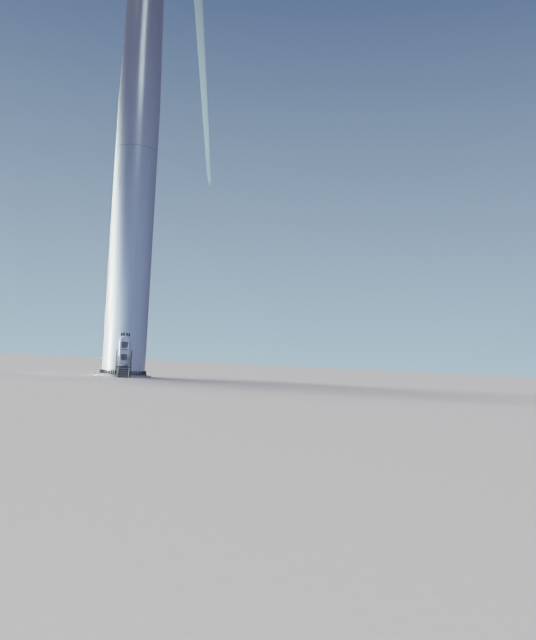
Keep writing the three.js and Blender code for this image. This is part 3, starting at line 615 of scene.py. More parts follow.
def tread_plate(place):
    """Steel plate with rows of raised lozenges that turn by quarter turns, worn bright on top."""
    def bars(shear):
        turn = {"Vector": place, "Rotation": (0, 0, shear), "Scale": (18, 9, 9)}
        sheared = place.node("Mapping", {}, turn)
        cells = {"Vector": sheared, "Scale": 1.0, "Randomness": 0.0}
        return sheared.node("TexVoronoi", {"feature": "F1"}, cells)

    raised = bars(0.785).between(0.34, 0.22) + bars(-0.785).between(0.34, 0.22)
    worn = place.noise(1.5, 4.0)
    return {
        "Base Color": (raised * 0.5 * worn).blend((0.30, 0.31, 0.32), (0.56, 0.57, 0.58)),
        "Roughness": 0.5 - raised * 0.12 + worn * 0.15,
        "Relief": raised * 0.003,
    }


collar = along_outline(stadium(DOOR_HALF, DOOR_SILL, DOOR_HEAD, OUTLINE_SPOTS), [
    (0.0, FRAME_BACK), (0.0, FRAME_FRONT + 0.010), (0.003, FRAME_FRONT + 0.003), (0.010, FRAME_FRONT),
    (FRAME_WIDTH - 0.014, FRAME_FRONT), (FRAME_WIDTH - 0.004, FRAME_FRONT + 0.004),
    (FRAME_WIDTH, FRAME_FRONT + 0.014), (FRAME_WIDTH, FRAME_BACK),
])
fitted("door_collar", [collar], tower_grey, "tower", "tower_paint", "door_frame")

bead_middle, bead_away = stadium(
    DOOR_HALF + FRAME_WIDTH, DOOR_SILL - FRAME_WIDTH, DOOR_HEAD + FRAME_WIDTH, OUTLINE_SPOTS
)
bead_shape = np.array(((-0.006, -0.004), (-0.004, 0.016), (0.006, 0.010), (0.018, 0.0), (0.014, -0.006)))
bead_places = bead_middle[:, None] + bead_away[:, None] * bead_shape[:, :1]
bead_depth = -np.sqrt(FOOT_RADIUS**2 - bead_places[..., 0] ** 2) - bead_shape[:, 1]
bead_points = np.stack((bead_places[..., 0], bead_depth, bead_places[..., 1]), axis=-1)
collar_bead = grid(bead_points, around=True, along=True)
fitted("collar_weld", [collar_bead], tower_grey, "tower", "tower_paint")
coated(finish("tread_plate", tread_plate, Metallic=0.7), "entry_floor")


# Door: a leaf of pressed steel with a folded rim, lapping over the collar on a rubber gasket. It
# hangs on two pinned hinges on the right and carries two louvres, a rain hood and a lever handle.
LEAF_HALF, LEAF_LOW, LEAF_HIGH = 0.475, 1.10, 3.92
LEAF_BACK, LEAF_FRONT = -2.265, -2.32
HINGE_X, HINGE_Y, HINGE_HEIGHTS = 0.545, -2.29, (1.8, 3.2)
# each louvre's lowest and highest edge and the width of its rim
LOUVRES = {"door_louvre_upper": (2.80, 3.46, 0.03), "door_louvre_lower": (1.56, 2.28, 0.05)}
LOUVRE_HALF, LOUVRE_DEPTH, LOUVRE_PITCH = 0.33, 0.03, 0.036
HOOD_HALF, HOOD_HEIGHT, HOOD_SHADOW_HALF, HOOD_SHADOW_SPAN = 0.35, 2.69, 0.335, (2.635, 2.715)
HANDLE_X, HANDLE_MIDDLE, HANDLE_REACH = -0.395, 1.96, 0.125
PLATE_BACK, PLATE_FRONT, GRIP_SEAT, GRIP_Y = -2.323, -2.335, -2.333, -2.368
FACING_FRONT = np.array(((1, 0, 0), (0, 0, -1), (0, 1, 0)), float)


def placed(part, axes=np.eye(3), origin=(0, 0, 0)):
    """The part with its axes laid along the columns of a 3 by 3 matrix, moved to an origin."""
    points, faces = part
    return points @ np.asarray(axes).T + np.asarray(origin), faces


def swept(path, profile, upward=(0, 0, 1), closed=False):
    """A closed (sideways, upward) profile carried along a path and square to it, widened at a bend
    so that a mitred bar keeps its width. The ends of an open path get flat caps."""
    path, profile = np.asarray(path, float), np.asarray(profile, float)
    if closed:
        before, after = path - np.roll(path, 1, 0), np.roll(path, -1, 0) - path
    else:
        steps = np.diff(path, axis=0)
        before, after = np.vstack((steps[:1], steps)), np.vstack((steps, steps[-1:]))
    before, after = (v / np.linalg.norm(v, axis=-1, keepdims=True) for v in (before, after))
    onward = before + after
    onward /= np.linalg.norm(onward, axis=-1, keepdims=True)
    side = np.cross(onward, upward)
    side /= np.linalg.norm(side, axis=-1, keepdims=True)
    rise = np.cross(side, onward)
    mitre = 1 / np.maximum(0.3, (onward * after).sum(-1))[:, None, None]
    points = path[:, None] + side[:, None] * profile[:, :1] * mitre + rise[:, None] * profile[:, 1:]
    return grid(points if closed else capped(points), around=True, along=closed)


def bent(points, radius):
    """A path through corner points with each inner corner rounded off by a smooth curve."""
    points = np.asarray(points, float)
    t = np.linspace(0, 1, 6)[:, None]
    path = [points[:1]]
    for start, corner, end in zip(points[:-2], points[1:-1], points[2:]):
        into = (start - corner) / np.linalg.norm(start - corner)
        out = (end - corner) / np.linalg.norm(end - corner)
        path.append(corner + into * radius * (1 - t) ** 2 + out * radius * t**2)
    return np.concatenate((*path, points[-1:]))


def round_bar(radius, sides=12):
    """The (sideways, upward) outline of a round bar."""
    angle = np.arange(sides) * 2 * np.pi / sides
    return np.stack((radius * np.cos(angle), radius * np.sin(angle)), axis=-1)


def flat_bar(width, height, chamfer=0.0):
    """The outline of a rectangular bar with its corners cut off by the chamfer."""
    w, h, c = width / 2, height / 2, chamfer
    return np.array((
        (w - c, -h), (w, c - h), (w, h - c), (w - c, h), (c - w, h), (-w, h - c), (-w, c - h), (c - w, -h),
    ))


def block(x, y, z, chamfer=0.0):
    """A bar along X between two corners, with its long edges chamfered."""
    middle = ((y[0] + y[1]) / 2, (z[0] + z[1]) / 2)
    return swept([(x[0], *middle), (x[1], *middle)], flat_bar(y[1] - y[0], z[1] - z[0], chamfer))


def louvre(half, low, high, back, depth, blades, rim):
    """An upright louvre facing -Y: a mitred rim, and the leaning blades in it."""
    x, foot, head = half - rim / 2, low + rim / 2, high - rim / 2
    corners = [(side, back - depth / 2, z) for side, z in ((-x, foot), (x, foot), (x, head), (-x, head))]
    border = swept(corners, flat_bar(rim, depth, 0.003), (0, 1, 0), closed=True)
    step = (high - low - 2 * rim) / blades
    front, rear = back - depth + 0.003, back - 0.005
    blade = ((-front, 0), (-rear, 0.75 * step), (-rear, 0.75 * step + 0.003), (-front, 0.003))
    reach = half - rim + 0.004
    slat = swept([(-reach, 0, 0), (reach, 0, 0)], blade)
    return border, copies(slat, [(0, 0, low + rim + step * k) for k in range(blades)])


def door_paint(place):
    """Grey enamel with a slight orange peel, runs of dirt and dust at the foot."""
    cloud = place.noise(1.6, 4.0)
    runs = place.stretched(14, 0.8).noise(1.0, 4.0).between(0.55, 0.8)
    foot = place.height().between(1.65, 1.1) * place.noise(5.0, 4.0).between(0.3, 0.7)
    dirt = runs * 0.15 + foot * 0.35
    return {
        "Base Color": dirt.blend(cloud.blend((0.53, 0.52, 0.55), (0.60, 0.59, 0.61)), (0.26, 0.26, 0.26)),
        "Roughness": 0.34 + cloud * 0.08 + dirt * 0.3,
        "Relief": place.noise(90.0, 2.0) * 0.0006 + place.noise(2.0, 2.0) * 0.003,
    }


def louvre_paint(place):
    """Blue-grey powder coat, greyed by dust."""
    dust = place.stretched(6, 3).noise(1.0, 5.0)
    blue_grey = dust.blend((0.165, 0.165, 0.20), (0.27, 0.27, 0.30))
    return {"Base Color": blue_grey, "Roughness": 0.42 + dust * 0.25}


def iron_paint(place):
    """Dark machine paint over cast or forged steel, rubbed through to grey metal in spots."""
    patch = place.noise(5.0, 5.0)
    rubbed = place.noise(24.0, 4.0).between(0.62, 0.72)
    paint = patch.blend((0.075, 0.08, 0.088), (0.13, 0.14, 0.15))
    return {
        "Base Color": (rubbed * 0.6).blend(paint, (0.42, 0.42, 0.42)),
        "Roughness": 0.4 + patch * 0.2,
        "Metallic": 0.25 + rubbed * 0.6,
        "Relief": place.noise(40.0, 3.0) * 0.0015,
    }


door_grey = finish("door_enamel", door_paint, Coat_Weight=0.15, Coat_Roughness=0.25)
louvre_blue = finish("louvre_coat", louvre_paint)
dark_steel = finish("dark_steel", iron_paint)

leaf_outline = stadium(LEAF_HALF, LEAF_LOW, LEAF_HIGH, OUTLINE_SPOTS)
leaf = along_outline(leaf_outline, [
    (-LEAF_HALF, LEAF_BACK), (-0.03, LEAF_BACK), (-0.004, LEAF_BACK), (0, LEAF_BACK - 0.004),
    (0, LEAF_FRONT + 0.014), (-0.004, LEAF_FRONT + 0.005), (-0.012, LEAF_FRONT), (-0.050, LEAF_FRONT),
    (-0.056, LEAF_FRONT + 0.006), (-0.072, LEAF_FRONT + 0.006), (-0.078, LEAF_FRONT), (-0.12, LEAF_FRONT),
    (-LEAF_HALF, LEAF_FRONT),
], ring=False)
knuckle = turned([
    (0.021, -0.055), (0.034, -0.055), (0.038, -0.051), (0.038, 0.051), (0.034, 0.055), (0.021, 0.055),
], 24, ring=True)
strap_y, arm_y = (LEAF_FRONT - 0.004, LEAF_FRONT + 0.008), (LEAF_FRONT + 0.012, LEAF_BACK - 0.006)
door_parts = [leaf]
for height in HINGE_HEIGHTS:
    door_parts.append(block((0.37, HINGE_X), strap_y, (height - 0.035, height + 0.035), 0.003))
    door_parts.append(block((0.455, HINGE_X), arm_y, (height - 0.05, height + 0.05), 0.004))
    door_parts.append(placed(knuckle, origin=(HINGE_X, HINGE_Y, height)))
small_bolt = joined([
    turned([(0, 0), (0.011, 0), (0.011, 0.009), (0, 0.009)], 6),
    turned([(0, 0.009), (0.005, 0.009), (0.005, 0.014), (0, 0.014)], 8),
])
strap_seats = [
    (x, LEAF_FRONT - 0.003, height + dz)
    for height in HINGE_HEIGHTS for x in (0.39, 0.435) for dz in (-0.018, 0.018)
]
door_parts.append(copies(small_bolt, strap_seats, FACING_FRONT))
fitted("door_panel", door_parts, door_grey, "door", "door_paint", "door_leaf")
gasket = along_outline(leaf_outline, [
    (-0.020, LEAF_BACK + 0.0045), (-0.045, LEAF_BACK + 0.0045), (-0.045, LEAF_BACK - 0.001),
    (-0.020, LEAF_BACK - 0.001),
])
fitted("door_gasket", [gasket], black_plastic_and_shade, "door", "louvre")

for node, (low_edge, high_edge, rim_width) in LOUVRES.items():
    count = round((high_edge - low_edge - 2 * rim_width) / LOUVRE_PITCH)
    border, slats = louvre(
        LOUVRE_HALF, low_edge, high_edge, LEAF_FRONT - 0.001, LOUVRE_DEPTH, count, rim_width
    )
    backing = block(
        (-LOUVRE_HALF + 0.02, LOUVRE_HALF - 0.02), (LEAF_FRONT - 0.004, LEAF_FRONT + 0.002),
        (low_edge + 0.02, high_edge - 0.02),
    )
    fitted(node + "_rim", [border], door_grey, "door", "door_paint")
    fitted(node + "_blades", [slats, backing], louvre_blue, "door", "louvre", node)

hood_profile = ((0, 0.045), (0.045, 0.02), (0.045, -0.012), (0.041, -0.012), (0.041, 0.016), (0, 0.04))
hood = swept([(x, LEAF_FRONT, HOOD_HEIGHT) for x in (-HOOD_HALF, HOOD_HALF)], hood_profile)
# a black strip just under the rain hood: painted shadow, for the shadow the hood casts on the leaf
shadow_strip_y = (LEAF_FRONT - 0.012, LEAF_FRONT + 0.002)
hood_shadow_strip = block((-HOOD_SHADOW_HALF, HOOD_SHADOW_HALF), shadow_strip_y, HOOD_SHADOW_SPAN, 0.002)
fitted("door_rain_hood", [hood], door_grey, "door", "door_paint")
fitted("door_hood_slot", [hood_shadow_strip], black_plastic_and_shade, "door", "louvre")

grip_path = bent([
    (HANDLE_X, GRIP_SEAT, HANDLE_MIDDLE + HANDLE_REACH), (HANDLE_X, GRIP_Y, HANDLE_MIDDLE + HANDLE_REACH),
    (HANDLE_X, GRIP_Y, HANDLE_MIDDLE - HANDLE_REACH), (HANDLE_X, GRIP_SEAT, HANDLE_MIDDLE - HANDLE_REACH),
], 0.014)
plate_places, plate_away = stadium(0.035, HANDLE_MIDDLE - 0.20, HANDLE_MIDDLE + 0.20, OUTLINE_SPOTS[::5])
plate = along_outline((plate_places + (HANDLE_X, 0), plate_away), [
    (-0.035, PLATE_BACK), (0, PLATE_BACK), (0, -2.331), (-0.004, PLATE_FRONT), (-0.035, PLATE_FRONT),
], ring=False)
lock = turned([(0, 0), (0.012, 0), (0.012, 0.008), (0, 0.008)], 16)
fitted("door_pull", [
    swept(grip_path, round_bar(0.010), (1, 0, 0)), plate,
    placed(lock, FACING_FRONT, (HANDLE_X, GRIP_SEAT, HANDLE_MIDDLE - 0.165)),
], dark_steel, "door", "dark_steel", "door_handle")
coated(dark_steel, "door_hinge_lower", "door_hinge_upper")


# Vent: a louvred grille of bent sheet over the door, following the tower's curve. Painted posts part
# it into two pairs of bays, whose black blades and black back sheet are painted shade for the dark openings.
VENT_LOW, VENT_HIGH, VENT_HALF = 3.99, 4.33, np.radians(11.25)
VENT_BACK, VENT_SHEET, VENT_FRONT, VENT_BLADES = 2.151, 2.157, 2.2, 8
BAY_MIDDLES, BAY_HALF = np.radians((-9.3, -3.8, 3.8, 9.3)), np.radians(1.75)


def curved_bar(section, start=-VENT_HALF, end=VENT_HALF, steps=17):
    """A closed (radius, height) section carried round the tower between two angles, with ends."""
    section, angles = np.asarray(section, float), np.linspace(start, end, steps) - np.pi / 2
    turn = np.stack((np.cos(angles), np.sin(angles)), axis=-1)
    heights = np.broadcast_to(section[:, 1:], (steps, len(section), 1))
    return grid(capped(np.concatenate((turn[:, None] * section[:, :1], heights), axis=-1)), around=True)


def rectangle(inner, outer, low, high):
    """A section between two radii and two heights."""
    return (inner, low), (outer, low), (outer, high), (inner, high)


# the black sheet behind the blades is painted shade, for the dark opening of the vent
vent_blades = [curved_bar(rectangle(VENT_BACK, VENT_SHEET, VENT_LOW + 0.01, VENT_HIGH - 0.01))]
for height in np.linspace(VENT_LOW + 0.045, VENT_HIGH - 0.035, VENT_BLADES):
    blade = ((2.155, height), (2.193, height - 0.02), (2.195, height - 0.017), (2.158, height + 0.003))
    vent_blades.append(curved_bar(blade))
vent_edges = (VENT_LOW, VENT_HIGH - 0.02)
vent_case = [curved_bar(rectangle(VENT_BACK, VENT_FRONT, edge, edge + 0.02)) for edge in vent_edges]
post_starts = (-VENT_HALF, *(BAY_MIDDLES + BAY_HALF))
post_ends = (*(BAY_MIDDLES - BAY_HALF), VENT_HALF)
for post_start, post_end in zip(post_starts, post_ends):
    vent_case.append(curved_bar(rectangle(2.152, 2.199, VENT_LOW, VENT_HIGH), post_start, post_end, 5))
fitted("entry_vent", vent_blades, black_plastic_and_shade, "tower", "louvre", "vent_grille")
fitted("entry_vent_case", vent_case, tower_grey, "tower", "tower_paint")


# Platform: a deck of pressed grating on a steel frame with four legs on bolted foot plates, and
# on each side a guard of galvanised tube with upright bars and a toe board. The deck and guards
# are zinc darkened to dark grey and the frame is dark steel: painted shade, for the shade they stand in.
DECK_TOP, DECK_DEPTH, DECK_HALF, DECK_BACK, DECK_FRONT = 1.05, 0.04, 0.73, -2.155, -3.45
GUARD_X, GUARD_ENDS, GUARD_HEIGHT, GUARD_KNEE, GUARD_BARS = 0.71, (-3.41, -2.26), 1.6, 0.85, 12
TUBE = 0.021
LEG_X, FRONT_LEG, BACK_LEG = 0.69, (-3.41, 0.001), (-2.55, PLINTH_TOP + 0.001)


def grating(x, y, top, depth, pitch=0.034):
    """Deep flat bars along X at an even pitch, with thin rods across them and a border all round."""
    rows = [(0, row, 0) for row in np.arange(y[0] + pitch, y[1] - 0.5 * pitch, pitch)]
    columns = [(column, 0, 0) for column in np.arange(x[0] + 0.05, x[1] - 0.02, 0.05)]
    bar = block((x[0] + 0.004, x[1] - 0.004), (-0.002, 0.002), (top - 0.03, top - 0.0005))
    rod = swept([(0, y[0] + 0.004, top - 0.004), (0, y[1] - 0.004, top - 0.004)], round_bar(0.0035, 4))
    (left, right), (front, back) = (x[0] + 0.003, x[1] - 0.003), (y[0] + 0.003, y[1] - 0.003)
    plan = ((left, front), (right, front), (right, back), (left, back))
    border = swept([(*corner, top - depth / 2) for corner in plan], flat_bar(0.006, depth), closed=True)
    return [copies(bar, rows), copies(rod, columns), border]


def guard(x, ends, foot, slope, reach, knee, bars):
    """A railing in the plane of one X between two places in Y, over a line that rises by slope: a
    bent tube up, along and down, a middle post, a knee rail, upright bars and a toe board."""
    near, far = ends
    middle = (near + far) / 2

    def at(y, above):
        return x, y, foot + slope * (y - near) + above

    def rod(points, outline):
        return swept(points, outline, (1, 0, 0))

    places = np.linspace(near, far, bars + 2)[1:-1]
    return [
        rod(bent([at(near, 0), at(near, reach), at(far, reach), at(far, 0)], 0.09), round_bar(TUBE)),
        rod([at(middle, 0), at(middle, reach)], round_bar(TUBE)),
        rod([at(near, knee), at(far, knee)], round_bar(0.016)),
        rod([at(near, 0.13), at(far, 0.13)], round_bar(0.01, 8)),
        *(rod([at(y, 0.12), at(y, reach)], round_bar(0.006, 6)) for y in places),
        swept([at(near, 0.055), at(far, 0.055)], flat_bar(0.008, 0.1, 0.002)),
    ]


def foot_plate(x, y, base):
    """A square plate under a leg with two bolts."""
    seats = [(x - 0.05, y + 0.045, base + 0.014), (x + 0.05, y - 0.045, base + 0.014)]
    plate = block((x - 0.075, x + 0.075), (y - 0.075, y + 0.075), (base, base + 0.014), 0.002)
    return [plate, copies(small_bolt, seats)]


def shaded_zinc(place):
    """Galvanised steel darkened to dark grey: painted shade, for the shade that the deck, treads and rails
    stand in.
    """
    return zinc(place, (0.055, 0.065, 0.070), (0.15, 0.165, 0.17), (0.28, 0.30, 0.30))


shade_darkened_galvanised = finish("shade_darkened_zinc", shaded_zinc)
deck = grating((-DECK_HALF, DECK_HALF), (DECK_FRONT, DECK_BACK), DECK_TOP, DECK_DEPTH)
fitted("platform_grating", deck, shade_darkened_galvanised, "tower", "galvanised", "stair_platform")
feet = [part for x in (-LEG_X, LEG_X) for leg in (FRONT_LEG, BACK_LEG) for part in foot_plate(x, *leg)]
fitted("leg_feet", feet, galvanised, "tower", "galvanised")
for side, x in (("left", -GUARD_X), ("right", GUARD_X)):
    rails = guard(x, GUARD_ENDS, DECK_TOP, 0.0, GUARD_HEIGHT - TUBE - 0.001, GUARD_KNEE, GUARD_BARS)
    fitted(f"guard_{side}", rails, shade_darkened_galvanised, "tower", "galvanised", f"platform_guard_{side}")
# the frame and legs in dark steel are painted shade, for the shade under the deck
coated(dark_steel, "platform_frame")


# Flight: two galvanised stringers with five grating treads bolted between them, each with a nose bar
# of plain bright zinc in front and a black riser screen behind, and on each side a handrail that runs
# down with the slope. The dark zinc of treads and handrails and the black screens are painted shade.
RISER, GOING, TREADS = 0.175, 0.25, 5
TREAD_HALF, STRINGER_OUTER = 0.474, 0.53
HANDRAIL_X, HANDRAIL_ENDS = 0.553, (-4.70, -3.49)
HANDRAIL_REACH, HANDRAIL_KNEE, HANDRAIL_BARS = 1.19, 0.65, 8


def pointing(side):
    """The 3 by 3 matrix that lays a part's upward axis along X, or against it for a side of -1."""
    return np.array(((0, 0, side), (0, 1, 0), (-side, 0, 0)), float)


across = (-TREAD_HALF, TREAD_HALF)
tread_parts, noses, tread_bolts, shade_screens = [], [], [], []
for step in range(1, TREADS + 1):
    back = DECK_FRONT - (TREADS - step) * GOING - 0.003
    front, top = back - GOING, step * RISER
    tread_parts += grating(across, (front + 0.004, back - 0.004), top, 0.036, 0.03)
    noses.append(block(across, (front + 0.003, front + 0.010), (top - 0.058, top + 0.001), 0.002))
    # a black screen behind each tread: painted shade, for the dark gap under the tread above
    shade_screens.append(block(across, (back - 0.012, back - 0.008), (top - RISER + 0.004, top - 0.04), 0.001))
    for side in (-1, 1):
        cheek = sorted((side * 0.472, side * 0.479))
        tread_parts.append(block(cheek, (front + 0.01, back - 0.01), (top - 0.075, top - 0.002), 0.002))
        bolt_seats = [(side * STRINGER_OUTER, back - inward, top - 0.055) for inward in (0.06, 0.19)]
        tread_bolts.append(copies(small_bolt, bolt_seats, pointing(side)))
tread_nodes = [f"stair_tread_{step}" for step in range(1, TREADS + 1)]
# the treads' dark zinc is painted shade, against which the bright nose bars stand out
fitted("stair_treads", tread_parts, shade_darkened_galvanised, "tower", "galvanised", *tread_nodes)
fitted("tread_noses", noses, galvanised, "tower", "galvanised")
fitted("riser_screens", shade_screens, black_plastic_and_shade, "tower", "louvre")
fitted("tread_bolts", tread_bolts, galvanised, "tower", "galvanised")
slope = RISER / GOING
handrail_foot = DECK_TOP + 0.02 + (HANDRAIL_ENDS[0] - DECK_FRONT) * slope - 0.12
for side, x in (("left", -HANDRAIL_X), ("right", HANDRAIL_X)):
    rails = guard(
        x, HANDRAIL_ENDS, handrail_foot, slope, HANDRAIL_REACH, HANDRAIL_KNEE, HANDRAIL_BARS
    )
    fitted(f"handrail_{side}", rails, shade_darkened_galvanised, "tower", "galvanised", f"stair_handrail_{side}")
    coated(galvanised, f"stair_stringer_{side}")


# Yaw: a slewing ring on the tower's top, under the nacelle's turret, a short steel drum with a row
# of bolts round it. The turret and everything above it stand in the nacelle's turned axes.
HUB_HEIGHT, OVERHANG = 80.0, 4.4
HEADING, SHAFT_TILT = np.radians(68), np.radians(5)


def turn_about(axis, angle):
    """The 3 by 3 matrix that turns about X, Y or Z by an angle in radians."""
    c, s = np.cos(angle), np.sin(angle)
    a, b = [(1, 2), (2, 0), (0, 1)][axis]
    matrix = np.eye(3)
    matrix[a, a], matrix[a, b], matrix[b, a], matrix[b, b] = c, -s, s, c
    return matrix


def on_nacelle(name, parts, material, slot, *nodes):
    """A piece drawn in the nacelle's own axes, riding on it."""
    return fitted(name, [placed(part, NACELLE_AXES) for part in parts], material, "nacelle", slot, *nodes)


NACELLE_AXES = turn_about(2, HEADING)
ring_profile = [
    (1.0, 77.602), (1.40, 77.602), (1.42, 77.62), (1.42, 77.70), (1.36, 77.72), (1.36, 77.76), (1.42, 77.78),
    (1.42, 77.83), (1.40, 77.85), (1.0, 77.85),
]
yaw_ring = turned(ring_profile, 96, ring=True)
fitted("yaw_slewing_ring", [yaw_ring], dark_steel, "tower", "dark_steel", "yaw_bearing_ring")
drum_profile = [
    (0, 77.857), (1.44, 77.857), (1.47, 77.865), (1.47, 77.90), (1.43, 77.91), (1.43, 77.99), (1.47, 78.0),
    (1.47, 78.045), (0, 78.045),
]
drum_seats, drum_angles = circle_of(48, 1.432, 77.95)
drum_bolts = copies(small_bolt, drum_seats, around_z(drum_angles) @ pointing(1))
on_nacelle("yaw_drum", [turned(drum_profile, 96), drum_bolts], dark_steel, "dark_steel", "yaw_turret")


# Nacelle cover: two shells of glass-fibre moulding with rounded edges, meeting in a bolted flange
# along a level joint. Upright lap strips cover the joints between panels, and a bolted steel ring
# seals the front wall round the shaft.
BOTTOM, SPLIT, ROOF, REAR, HALF_WIDTH = 78.05, 79.7, 81.9, -7.55, 1.85
RISE, DRAW, CORNER, EDGE, FRONT_PLANE = 0.95, 0.14, 0.5, 0.3, 1.47
LAP_STRIPS = (-5.15, -3.25, -1.0, 1.1)
# a lap strip's outline: its place along the cover and its height over the skin
LAP_SHAPE = ((-0.07, -0.01), (-0.066, 0.008), (-0.05, 0.013), (0.05, 0.013), (0.066, 0.008), (0.07, -0.01))
FLANGE_BOLTS, COVER_MIDDLE = 76, (-2.3, 0, 0)
SEAL_BOLTS, SEAL_CIRCLE, SEAL_FACE = 24, 1.10, -1.452


def front_at(height):
    """Where the leaning front face stands at a height, square to the shaft."""
    return OVERHANG - (FRONT_PLANE + (height - HUB_HEIGHT) * np.sin(SHAFT_TILT)) / np.cos(SHAFT_TILT)


def ramp(value, start, end):
    """0 up to start, 1 from end on and a straight rise between them."""
    return np.clip((np.asarray(value, float) - start) / (end - start), 0, 1)


def smooth(share):
    """A share from 0 to 1 that starts and ends gently."""
    return share * share * (3 - 2 * share)


def cover_half(x):
    """Half the cover's width, drawn in a little towards both ends."""
    return HALF_WIDTH - DRAW * (smooth(ramp(x, 0.4, 3)) + smooth(ramp(-np.asarray(x), 3.5, -REAR)))


def cover_low(x):
    """The underside's height, which rises towards the rear."""
    return BOTTOM + RISE * smooth(ramp(-np.asarray(x), 2.8, -REAR))


def cover_ring(x, inset, leans, upper, grow=0.0):
    """Half rings of the cover, one for each x: from the joint on the left round the underside, or
    the roof, to the joint on the right. Each is a rectangle with round corners, less its inset; a
    leaning one counts x back from the front face."""
    x, inset, leans = (np.atleast_1d(v)[:, None] for v in (x, inset, leans))
    sign = 1 if upper else -1
    half = cover_half(x) - inset + grow
    edge_level = ROOF - inset + grow if upper else cover_low(x) + inset - grow
    joint = SPLIT + sign * 0.0015
    radius = CORNER - inset * 0.6 + grow
    turn = np.radians(np.linspace(0, 90, 10))
    level = edge_level - sign * radius
    arc_y, arc_z = half - radius + radius * np.cos(turn), level + sign * radius * np.sin(turn)
    side = joint + (level - joint) * np.array((0, 0.04, 0.35, 0.65, 0.96))
    flat = (half - radius) * np.array((0.97, 0.6, 0.2))
    y = np.concatenate((half + 0 * side, arc_y, flat), axis=1)
    z = np.concatenate((side, arc_z, edge_level + 0 * flat), axis=1)
    y, z = np.concatenate((-y, y[:, ::-1]), axis=1), np.concatenate((z, z[:, ::-1]), axis=1)
    forward = np.where(leans, front_at(z) - x, x)
    return np.stack((forward, y, z), axis=-1)


def cover_rings(upper):
    """All half rings of the cover above or below the joint, from the rear wall to the front."""
    bend = np.radians(np.linspace(90, 0, 7))
    round_x, round_inset = EDGE * (1 - np.sin(bend)), EDGE * (1 - np.cos(bend))
    stations = np.concatenate((np.linspace(REAR + EDGE, -2.8, 14)[1:], [-1.6, -0.4, 0.4, 0.9, 1.4, 1.9]))
    x = np.concatenate((REAR + round_x, stations, round_x[::-1]))
    inset = np.concatenate((round_inset, 0 * stations, round_inset[::-1]))
    leans = np.arange(len(x)) >= 7 + len(stations)
    return cover_ring(x, inset, leans, upper)


def cover_paint(place):
    """White gelcoat with a faint ripple, streaks of rain dirt and grime underneath."""
    cloud = place.noise(0.7, 4.0)
    streak = place.stretched(4.5, 0.35).noise(1.0, 5.0, 0.62).between(0.5, 0.8)
    under = place.height().between(79.4, 78.2)
    grime = place.stretched(1.4, 1.4).noise(1.0, 5.0).between(0.42, 0.7)
    dirt = streak * 0.20 + under * grime * 0.35
    return {
        "Base Color": dirt.blend(cloud.blend((0.66, 0.69, 0.69), (0.74, 0.765, 0.76)), (0.30, 0.29, 0.27)),
        "Roughness": 0.30 + cloud * 0.1 + dirt * 0.3,
        "Relief": place.noise(0.9, 2.0) * 0.012 + place.noise(45.0, 2.0) * 0.0006,
    }


cover_white = finish("cover_gelcoat", cover_paint, Coat_Weight=0.2, Coat_Roughness=0.2)
wall_middles = ((REAR, 0, SPLIT), (front_at(SPLIT), 0, SPLIT))
for half, upper in (("lower", False), ("upper", True)):
    rings = cover_rings(upper)
    shell = grid(capped(rings, wall_middles), around=True)
    on_nacelle(f"nacelle_{half}_cover", [shell], cover_white, "cover_paint", f"nacelle_{half}_shell")

joint_line = np.concatenate((rings[:, 0], rings[::-1, -1]))
joint_line[:, 2] = SPLIT
spans = np.linalg.norm(np.diff(joint_line, axis=0, append=joint_line[:1]), axis=-1)
run = np.concatenate(([0], np.cumsum(spans)))
bolt_run = np.linspace(0, run[-1], FLANGE_BOLTS, endpoint=False)
around = np.vstack((joint_line, joint_line[:1]))
bolt_line = np.stack([np.interp(bolt_run, run, around[:, axis]) for axis in range(3)], axis=-1)
bolt_line[:, 2] = SPLIT + 0.024
outwards = (bolt_line - COVER_MIDDLE) * (1, 1, 0)
bolt_line += 0.022 * outwards / np.linalg.norm(outwards, axis=-1, keepdims=True)
joint_flange = swept(joint_line, flat_bar(0.09, 0.05, 0.008), closed=True)
strips = []
for x in LAP_STRIPS:
    for upper in (False, True):
        rings = [cover_ring([x + along], 0.0, [False], upper, over) for along, over in LAP_SHAPE]
        strips.append(grid(capped(np.concatenate(rings).transpose(1, 0, 2)), around=True))
flange_parts = [joint_flange, copies(small_bolt, bolt_line)]
on_nacelle("cover_joint_flange", flange_parts, cover_white, "cover_paint")
on_nacelle("cover_lap_strips", strips, cover_white, "cover_paint")

SHAFT_AXES = NACELLE_AXES @ turn_about(1, -SHAFT_TILT)
HUB = NACELLE_AXES @ np.array((OVERHANG, 0, HUB_HEIGHT))
front_ring = turned([
    (0.99, -1.50), (1.20, -1.50), (1.20, -1.463), (1.18, SEAL_FACE), (1.01, SEAL_FACE), (0.99, -1.463),
], 72, ring=True)
seal_seats, _ = circle_of(SEAL_BOLTS, SEAL_CIRCLE, SEAL_FACE)
ring_parts = [front_ring, copies(small_bolt, seal_seats)]
along_shaft = [placed(part, SHAFT_AXES @ pointing(1), HUB) for part in ring_parts]
fitted("front_seal_ring", along_shaft, dark_steel, "nacelle", "dark_steel")


# Roof and rear: a louvre of leaning blades in the rear wall, and on the roof a hatch with hinges and
# a grip, the cooler's finned core in its frame on two feet, tube rails, the mast with its wind
# sensors, and the red obstruction light.
SEAT = ROOF + 0.003
REAR_HALF, REAR_LOW, REAR_HIGH, REAR_DEPTH, REAR_BLADES = 1.1, 80.0, 81.3, 0.06, 22
FACING_REAR = np.array(((0, 1, 0), (-1, 0, 0), (0, 0, 1)), float)
COOLER_X, COOLER_HALF, COOLER_FOOT, COOLER_TOP, COOLER_BAR = (-6.75, -6.35), 1.35, 0.3, 1.25, 0.1
COOLER_LEGS, CORE_HALF, FIN_PITCH, PIPE_PITCH = (-1.3, 1.3), 1.25, 0.03, 0.1
MAST_X, ARM_LEVEL, ARM_HALF, SENSOR_Y = -5.4, ROOF + 1.33, 0.62, 0.58
CUPS_ABOVE, CUP_ARM, VANE_ABOVE, VANE_NOSE = 0.34, 0.11, 0.37, (0.13, 0, 0)
LAMP_PLACE = (-4.5, 0.9, SEAT)
RAIL_Y, RAIL_X, RAIL_HEIGHT, RAIL_POSTS = 1.27, (-4.58, 1.38), 0.40, 6


